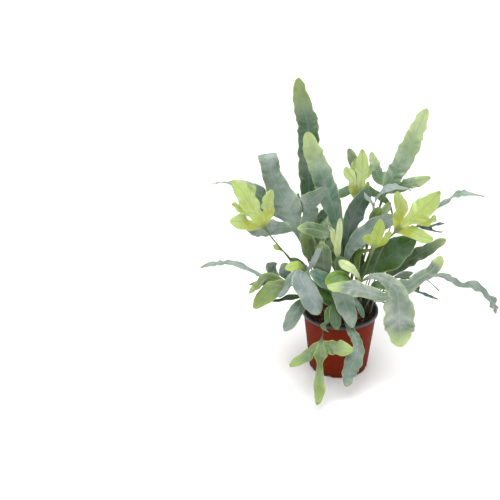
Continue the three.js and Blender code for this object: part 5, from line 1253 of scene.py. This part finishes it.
def scatter_tree():
    """Geometry nodes that scatter a shape over a surface: peat crumbs, bark chips, fibres and scales."""
    tree = bpy.data.node_groups.new("scatter", "GeometryNodeTree")
    tree.is_modifier = True
    tree.interface.new_socket("Geometry", in_out="OUTPUT", socket_type="NodeSocketGeometry")
    for name, kind in (
        ("Geometry", "Geometry"), ("Shape", "Object"), ("Density", "Float"), ("Reach", "Float"),
        ("Smallest", "Vector"), ("Largest", "Vector"), ("Stand", "Float"), ("Follow", "Float"),
        ("Stray", "Float"), ("Sink", "Float"), ("Distortion", "Float"), ("Distortion Size", "Float"),
        ("Seed", "Int"), ("Material", "Material"),
    ):
        tree.interface.new_socket(name, in_out="INPUT", socket_type=f"NodeSocket{kind}")
    entry = tree.nodes.new("NodeGroupInput")
    given = {socket.name: socket for socket in entry.outputs}
    add = partial(add_node, tree)
    # Only on what looks upwards, within a reach of the upright axis
    place = add("GeometryNodeInputPosition")["Position"]
    normal = add("GeometryNodeInputNormal")["Normal"]
    flat = add("ShaderNodeVectorMath", {"Vector": place, "Vector_001": (1, 1, 0)}, operation="MULTIPLY")
    off_axis = add("ShaderNodeVectorMath", {"Vector": flat["Vector"]}, operation="LENGTH")["Value"]
    within = add("FunctionNodeCompare", {"A": off_axis, "B": given["Reach"]}, operation="LESS_THAN")["Result"]
    rise = add("ShaderNodeSeparateXYZ", {"Vector": normal})["Z"]
    upward = add("FunctionNodeCompare", {"A": rise, "B": 0.1}, operation="GREATER_THAN")["Result"]
    both = add(
        "FunctionNodeBooleanMath", {"Boolean": within, "Boolean_001": upward}, operation="AND"
    )["Boolean"]
    spots = add("GeometryNodeDistributePointsOnFaces", {
        "Mesh": given["Geometry"], "Selection": both, "Density": given["Density"], "Seed": given["Seed"],
    })
    # Each one's Z points partly along the normal, partly the way that the carrier grows and partly anywhere
    growth = add("GeometryNodeInputNamedAttribute", {"Name": "growth"}, data_type="FLOAT_VECTOR")["Attribute"]
    stray, spin, size = (
        add(
            "FunctionNodeRandomValue", {"Min": low, "Max": high, "Seed": seed}, data_type="FLOAT_VECTOR"
        )["Value"]
        for low, high, seed in (
            ((-1, -1, -1), (1, 1, 1), 3),
            ((0, 0, 0), (0, 0, FULL_TURN), 7),
            (given["Smallest"], given["Largest"], 11),
        )
    )
    way = (0, 0, 0)
    for direction, share in ((spots["Normal"], "Stand"), (growth, "Follow"), (stray, "Stray")):
        part = add("ShaderNodeVectorMath", {"Vector": direction, "Scale": given[share]}, operation="SCALE")
        way = add(
            "ShaderNodeVectorMath", {"Vector": way, "Vector_001": part["Vector"]}, operation="ADD"
        )["Vector"]
    stood = add("FunctionNodeAlignRotationToVector", {"Vector": way}, axis="Z")["Rotation"]
    turned = add(
        "FunctionNodeRotateRotation", {"Rotation": stood, "Rotate By": spin}, rotation_space="LOCAL"
    )["Rotation"]
    shape = add("GeometryNodeObjectInfo", {"Object": given["Shape"]})["Geometry"]
    placed = add("GeometryNodeInstanceOnPoints", {
        "Points": spots["Points"], "Instance": shape, "Rotation": turned, "Scale": size,
    })["Instances"]
    down = add("ShaderNodeCombineXYZ", {"Z": given["Sink"]})["Vector"]
    sunk = add("GeometryNodeTranslateInstances", {
        "Instances": placed, "Translation": down, "Local Space": False,
    })["Instances"]
    real = add("GeometryNodeRealizeInstances", {"Geometry": sunk})["Geometry"]
    # No two are of the same shape once noise has moved their points
    lumps = add("ShaderNodeTexNoise", {"Vector": place, "Scale": given["Distortion Size"], "Detail": 1})
    off_middle = add("ShaderNodeVectorMath", {
        "Vector": lumps["Color"], "Vector_001": (0.5, 0.5, 0.5),
    }, operation="SUBTRACT")["Vector"]
    move = add(
        "ShaderNodeVectorMath", {"Vector": off_middle, "Scale": given["Distortion"]}, operation="SCALE"
    )["Vector"]
    moved = add("GeometryNodeSetPosition", {"Geometry": real, "Offset": move})["Geometry"]
    finished = add("GeometryNodeSetMaterial", {"Geometry": moved, "Material": given["Material"]})["Geometry"]
    add("NodeGroupOutput", {tree.interface.items_tree["Geometry"].identifier: finished})
    return tree


def scatter(name, carrier, shape, values):
    """A new piece: a shape scattered over a carrier's surface."""
    tree = bpy.data.node_groups.get("scatter") or scatter_tree()
    carrier.data = carrier.data.copy()
    grow = carrier.modifiers.new("scatter", "NODES")
    grow.node_group = tree
    values["Shape"] = shape
    for item in tree.interface.items_tree:
        if item.in_out == "INPUT" and item.name in values:
            grow[item.identifier] = values[item.name]
    mesh = finished_mesh(carrier)
    mesh.name = name
    drop(shape)
    return new_piece(name, mesh)


def lump(name, levels, jag, seed):
    """A rough lump: a round body with knocked corners, about one unit in radius."""
    mesh = bpy.data.meshes.new(name)
    body = bmesh.new()
    bmesh.ops.create_icosphere(body, subdivisions=levels, radius=1)
    for vertex in body.verts:
        vertex.co *= 1 + jag * noise.noise(vertex.co * 1.3 + Vector((seed, 0, 0)))
    body.to_mesh(mesh)
    body.free()
    mesh.polygons.foreach_set("use_smooth", [levels > 1] * len(mesh.polygons))
    return new_piece(name, mesh)


def strand(name, radius, bend, rings=6, sides=4):
    """A thin bent fibre along X, one unit long, with narrower ends."""
    points = []
    for t in np.linspace(-1, 1, rings):
        size, sag = radius * (0.35 if abs(t) == 1 else 1), bend * (1 - t * t)
        for angle in ring_angles(sides):
            points.append((t / 2, sag + size * math.cos(angle), sag * 0.4 + size * math.sin(angle)))
    faces = [tuple(range(sides))[::-1], tuple(range((rings - 1) * sides, rings * sides))]
    for first in range(0, (rings - 1) * sides, sides):
        faces += faces_between(first, sides)
    return new_piece(name, mesh_from(name, np.array(points) / MM, faces))


def chaff(name):
    """A papery scale that narrows to a point along Z: three cross sections and a tip, one unit long."""
    points = []
    for height, width, depth in ((0, 0.16, 0.035), (0.3, 0.2, 0.04), (0.68, 0.12, 0.03)):
        points += [(-width, 0, height), (0, -depth, height), (width, 0, height), (0, depth, height)]
    points.append((0.0, 0.06, 1.0))
    faces = [(3, 2, 1, 0), *faces_between(0, 4), *faces_between(4, 4)]
    faces += [(8 + k, 8 + (k + 1) % 4, 12) for k in range(4)]
    return new_piece(name, mesh_from(name, np.array(points) / MM, faces))


def make_soil(settings):
    """Dark peat with crumbs all over it, brown bark chips and coir fibres."""
    peat = peat_material("milled_peat", settings.dark, settings.peat, grain=0.0012, roughness=0.9)
    body = new_piece("peat_bed", mesh_from("peat_bed", *soil_points()), peat)
    crumb, chip = settings.crumb_size / 2, settings.chip_size / 2
    reach = (SHOULDER_RADIUS - WALL - 3) * MM
    crumbs = scatter("peat_crumbs", body, lump("crumb", levels=1, jag=0.5, seed=2), {
        "Density": settings.crumbs, "Reach": reach, "Smallest": (crumb * 0.35,) * 3,
        "Largest": (crumb * 1.3, crumb * 1.1, crumb), "Stray": 1.0, "Sink": 0.0002,
        "Distortion": 0.0009, "Distortion Size": 700.0, "Seed": settings.seed, "Material": peat,
    })
    bark = peat_material("composted_bark", settings.bark_dark, settings.bark, grain=0.0016, roughness=0.8)
    chips = scatter("bark_chips", body, lump("chip", levels=2, jag=0.6, seed=5), {
        "Density": settings.chips, "Reach": reach - 2 * chip,
        "Smallest": (chip * 0.4, chip * 0.3, chip * 0.2), "Largest": (chip * 1.2, chip * 0.8, chip * 0.45),
        "Stand": 1.0, "Stray": 0.5, "Sink": 0.0004,
        "Distortion": 0.0016, "Distortion Size": 420.0, "Seed": settings.seed + 1, "Material": bark,
    })
    coir = peat_material("coir_fibre", settings.bark, settings.fibre, grain=0.003, roughness=0.7)
    fibres = scatter("coir_fibres", body, strand("fibre", radius=0.014, bend=0.16), {
        "Density": settings.fibres, "Reach": reach - 0.007, "Smallest": (0.004, 0.005, 0.005),
        "Largest": (0.011, 0.011, 0.009), "Stand": 1.0, "Stray": 0.25, "Sink": 0.0006,
        "Distortion": 0.0005, "Distortion Size": 300.0, "Seed": settings.seed + 2, "Material": coir,
    })
    set_on_part(body, "soil", "soil")
    for piece in (crumbs, chips, fibres):
        set_on_part(piece, "soil")


def stem_points(stem):
    """A creeping stem with rounded ends, as points and faces, with the way that it grows at each point."""
    line = catmull_rom([(x, y, SOIL_TOP + RHIZOME_LIFT) for x, y in stem], STEM_RINGS)
    along = unit(np.gradient(line, axis=0))
    reach = distances_along(line)
    from_end = np.minimum(reach, reach[-1] - reach) + RHIZOME_RADIUS * 0.5
    radius = RHIZOME_RADIUS * np.sqrt(1 - np.clip(1 - from_end / RHIZOME_RADIUS, 0, 1) ** 2)
    right = unit(np.cross(along, (0, 0, 1)))
    points = [
        place + size * (math.cos(angle) * side + math.sin(angle) * np.array([0, 0, -1]))
        for place, side, size in zip(line, right, radius)
        for angle in ring_angles(STEM_SIDES)
    ]
    ends = [line[0] - along[0] * RHIZOME_RADIUS / 2, line[-1] + along[-1] * RHIZOME_RADIUS / 2]
    points = np.array([ends[0], *points, ends[1]])
    off_axis = unit(points[1:-1] - np.repeat(line, STEM_SIDES, axis=0))
    points[1:-1] += off_axis * rough(points[1:-1], *RHIZOME_LUMPS)[:, None]
    growth = np.vstack([along[:1], np.repeat(along, STEM_SIDES, axis=0), along[-1:]])
    return points, capped_faces(len(points) - 1, STEM_SIDES), growth


def make_rhizome(settings):
    """The creeping stem and its branch, under a pelt of papery golden scales that point the way it grows."""
    points, faces, growth = [], [], []
    for stem in RHIZOME_STEMS:
        more, joined, ways = stem_points(stem)
        faces += [tuple(i + len(points) for i in face) for face in joined]
        points.extend(more)
        growth.extend(ways)
    skin = scale_material("papery_rhizome_scales", settings)
    body = new_piece("creeping_stem", mesh_from("creeping_stem", points, faces), skin)
    ways = np.array(growth, np.float32).ravel()
    body.data.attributes.new("growth", "FLOAT_VECTOR", "POINT").data.foreach_set("vector", ways)
    size = settings.scale_length
    scales = scatter("rhizome_scales", body, chaff("scale"), {
        "Density": settings.scales, "Reach": RIM_RADIUS * MM,
        "Smallest": (size * 0.8, size * 0.8, size * 0.6), "Largest": (size * 1.2, size * 1.2, size * 1.3),
        "Stand": 0.55, "Follow": 1.0, "Stray": 0.45, "Sink": -0.0003,
        "Distortion": 0.0004, "Distortion Size": 500.0, "Seed": settings.seed, "Material": skin,
    })
    set_on_part(body, "rhizome", "rhizome")
    set_on_part(scales, "rhizome")


def make_fronds(settings):
    """Every frond, each one closed body of stipe, midrib and lobed blade."""
    materials = {}
    for phase, frond in enumerate(FRONDS):
        tone, name = frond.tone, f"leaf_{frond.name}"
        if tone not in materials:
            materials[tone] = leaf_material(tone, settings)
        mesh = frond_mesh(frond_sheet(frond, phase), name, phase, settings)
        # The shade mark paints light or shade into the frond's colour, beside its own tone
        store_mark(mesh, "shade", np.full(len(mesh.vertices), frond.shade))
        set_on_part(new_piece(name, mesh, materials[tone]), f"frond_{tone}", f"frond_{frond.name}")


def soft_light(name, place, width, power):
    """A square softbox that faces the plant."""
    data = bpy.data.lights.new(name, "AREA")
    data.shape = "SQUARE"
    data.size = width
    data.energy = power
    light = bpy.data.objects.new(name, data)
    light.location = place
    light.rotation_euler = (Vector(LIT_PLACE) - light.location).to_track_quat("-Z", "Y").to_euler()
    bpy.context.scene.collection.objects.link(light)


def floor_material(colour):
    """Seamless white paper sweep: matt, with a hardly visible 1 mm tooth."""
    material, add, place = start_material("white_paper_sweep")
    tooth = add("ShaderNodeTexNoise", {"Vector": place, "Scale": 1000, "Detail": 2})["Fac"]
    relief = add("ShaderNodeBump", {"Height": tooth, "Strength": 0.05, "Distance": 0.0002})["Normal"]
    finish_material(
        add, {"Base Color": colour, "Roughness": 0.95, "Normal": relief, "Specular IOR Level": 0.1}
    )
    return material


def make_studio(settings):
    """A pale floor, soft light and the camera."""
    scene = bpy.context.scene
    signs = ((-1, -1), (1, -1), (1, 1), (-1, 1))
    corners = [(x * FLOOR_REACH, y * FLOOR_REACH, -FLOOR_DROP) for x, y in signs]
    floor = new_piece("floor", mesh_from("floor", corners, [(0, 1, 2, 3)]), floor_material(settings.floor))
    for name, (place, width) in SOFTBOXES.items():
        soft_light(f"{name}_softbox", place, width, getattr(settings, name))
    world = bpy.data.worlds.new("studio")
    world.use_nodes = True
    world.node_tree.nodes.clear()
    add = partial(add_node, world.node_tree)
    sky = add("ShaderNodeBackground", {"Color": linear("#ffffff"), "Strength": settings.sky})["Background"]
    add("ShaderNodeOutputWorld", {"Surface": sky})
    scene.world = world
    scene.view_settings.view_transform = "Standard"
    camera = bpy.data.objects.new("camera", bpy.data.cameras.new("camera"))
    scene.collection.objects.link(camera)
    camera.location = CAMERA_PLACE
    camera.rotation_euler = (math.radians(CAMERA_TILT), 0, 0)
    camera.data.lens = CAMERA_LENS
    camera.data.sensor_width = SENSOR_WIDTH
    scene.camera = camera


def colour_property(name, description, code):
    return bpy.props.FloatVectorProperty(
        name=name, description=description, default=linear(code), subtype="COLOR", size=4, min=0, max=1
    )


def length_property(name, description, default, least):
    return bpy.props.FloatProperty(
        name=name, description=description, default=default, min=least, unit="LENGTH"
    )


def amount_property(name, description, default, **limits):
    return bpy.props.FloatProperty(name=name, description=description, default=default, min=0, **limits)


def count_property(name, description, default, least, most):
    return bpy.props.IntProperty(name=name, description=description, default=default, min=least, max=most)


def seed_property(default):
    return bpy.props.IntProperty(
        name="Seed", description="Which of the random lays is made", default=default, min=0
    )


class FernPotSettings(bpy.types.PropertyGroup):
    outside: colour_property("Outside", "Terracotta plastic of the outer face", "#722512")
    # Inside and lip: black plastic lightened to a blue-grey as a painted reflection of the light on the lip
    inside: colour_property("Inside and lip", "Black plastic of the inner face and the lip", "#3b464e")
    sides: count_property("Sides", "Sides of each turned ring", 160, 24, 400)


class FernSoilSettings(bpy.types.PropertyGroup):
    dark: colour_property("Wet peat", "Peat in its pores", "#140d09")
    peat: colour_property("Dry peat", "Peat on its crests", "#4b3120")
    bark_dark: colour_property("Dark bark", "Bark chips in their hollows", "#3a1f12")
    bark: colour_property("Bark", "Bark chips on their crests", "#7d4a2b")
    fibre: colour_property("Coir", "Coir fibres", "#9a6b42")
    crumb_size: length_property("Crumb size", "Width of a common crumb", 0.0026, 0.0005)
    chip_size: length_property("Chip size", "Width of a common bark chip", 0.0065, 0.001)
    crumbs: amount_property("Crumbs", "Crumbs on each square metre", 330000)
    chips: amount_property("Chips", "Chips on each square metre", 20000)
    fibres: amount_property("Fibres", "Fibres on each square metre", 24000)
    seed: seed_property(5)


class FernRhizomeSettings(bpy.types.PropertyGroup):
    gold: colour_property("Scale tufts", "Golden brown of the scales", "#b07a3c")
    shade: colour_property("Scale roots", "Brown between the scales", "#5b3718")
    scale_length: length_property("Scale length", "Length of a common scale", 0.0045, 0.0005)
    scales: amount_property("Scales", "Scales on each square metre", 900000)
    seed: seed_property(3)


class FernFrondSettings(bpy.types.PropertyGroup):
    margin: colour_property("Margin", "Pale rim of a blade", "#b9c795")
    stipe: colour_property("Stipe", "Stipe from about 80 mm above the soil", "#5c6839")
    # The stipe foot's colour is partly the stipe's own brown and partly painted shade under the fronds
    stipe_foot_and_painted_shade: colour_property("Stipe foot", "Stipe at the soil", "#2f2519")
    blade_thickness: length_property("Blade thickness", "Thickness of a blade", 0.00062, 0.0001)
    margin_thickness: length_property("Margin thickness", "Thickness at a blade's margin", 0.00034, 0.0001)
    rib_width: length_property("Rib width", "Half width of the ridge under the midrib", 0.0022, 0.0002)
    rib_rise: length_property("Rib rise", "Height of the ridge under the midrib", 0.00055, 0)
    vein_spacing: length_property("Vein spacing", "Distance between two side veins", 0.0045, 0.001)
    ripple_length: length_property("Ripple length", "Length of a pleat along the blade", 0.016, 0.004)
    ripple_height: amount_property(
        "Ripple height", "Pleat height beside half a blade's width", 0.1, max=0.3, subtype="FACTOR"
    )
    smoothness: count_property("Smoothness", "Subdivisions of each sheet", 2, 1, 2)


class FernStudioSettings(bpy.types.PropertyGroup):
    floor: colour_property("Floor", "Paper of the floor", "#f1f1f0")
    key: amount_property("Key", "Front left softbox", 28, unit="POWER")
    fill: amount_property("Fill", "Right softbox", 30, unit="POWER")
    top: amount_property("Top", "Softbox overhead", 218, unit="POWER")
    sky: amount_property("Sky", "Light from all round", 0.38)


class FERN_OT_make_pot(bpy.types.Operator):
    """Makes the two-tone nursery pot"""

    bl_idname = "fern.make_pot"
    bl_label = "Make pot"

    def execute(self, context):
        make_pot(context.scene.fern_pot)
        return {"FINISHED"}


class FERN_OT_make_soil(bpy.types.Operator):
    """Makes the peat with its crumbs, chips and fibres"""

    bl_idname = "fern.make_soil"
    bl_label = "Make soil"

    def execute(self, context):
        make_soil(context.scene.fern_soil)
        return {"FINISHED"}


class FERN_OT_make_rhizome(bpy.types.Operator):
    """Makes the creeping stem and its scales"""

    bl_idname = "fern.make_rhizome"
    bl_label = "Make rhizome"

    def execute(self, context):
        make_rhizome(context.scene.fern_rhizome)
        return {"FINISHED"}


class FERN_OT_make_fronds(bpy.types.Operator):
    """Makes every frond"""

    bl_idname = "fern.make_fronds"
    bl_label = "Make fronds"

    def execute(self, context):
        make_fronds(context.scene.fern_fronds)
        return {"FINISHED"}


class FERN_OT_make_studio(bpy.types.Operator):
    """Makes the floor, the lights and the camera"""

    bl_idname = "fern.make_studio"
    bl_label = "Make studio"

    def execute(self, context):
        make_studio(context.scene.fern_studio)
        return {"FINISHED"}


SECTIONS = (
    ("fern_pot", FernPotSettings, FERN_OT_make_pot),
    ("fern_soil", FernSoilSettings, FERN_OT_make_soil),
    ("fern_rhizome", FernRhizomeSettings, FERN_OT_make_rhizome),
    ("fern_fronds", FernFrondSettings, FERN_OT_make_fronds),
    ("fern_studio", FernStudioSettings, FERN_OT_make_studio),
)


class FERN_PT_parts(bpy.types.Panel):
    """Lists the pieces of the fern with their settings"""

    bl_label = "Blue star fern"
    bl_idname = "FERN_PT_parts"
    bl_space_type = "VIEW_3D"
    bl_region_type = "UI"
    bl_category = "Fern"

    def draw(self, context):
        for owner, settings, operator in SECTIONS:
            box = self.layout.box()
            box.operator(operator.bl_idname)
            for name in settings.__annotations__:
                box.prop(getattr(context.scene, owner), name)


def register():
    for owner, settings, operator in SECTIONS:
        bpy.utils.register_class(settings)
        setattr(bpy.types.Scene, owner, bpy.props.PointerProperty(type=settings))
        bpy.utils.register_class(operator)
    bpy.utils.register_class(FERN_PT_parts)


def unregister():
    bpy.utils.unregister_class(FERN_PT_parts)
    for owner, settings, operator in reversed(SECTIONS):
        bpy.utils.unregister_class(operator)
        delattr(bpy.types.Scene, owner)
        bpy.utils.unregister_class(settings)


def main():
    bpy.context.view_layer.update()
    register()
    bpy.ops.fern.make_studio()
    bpy.ops.fern.make_pot()
    bpy.ops.fern.make_soil()
    bpy.ops.fern.make_rhizome()
    bpy.ops.fern.make_fronds()


if __name__ == "__main__":
    main()
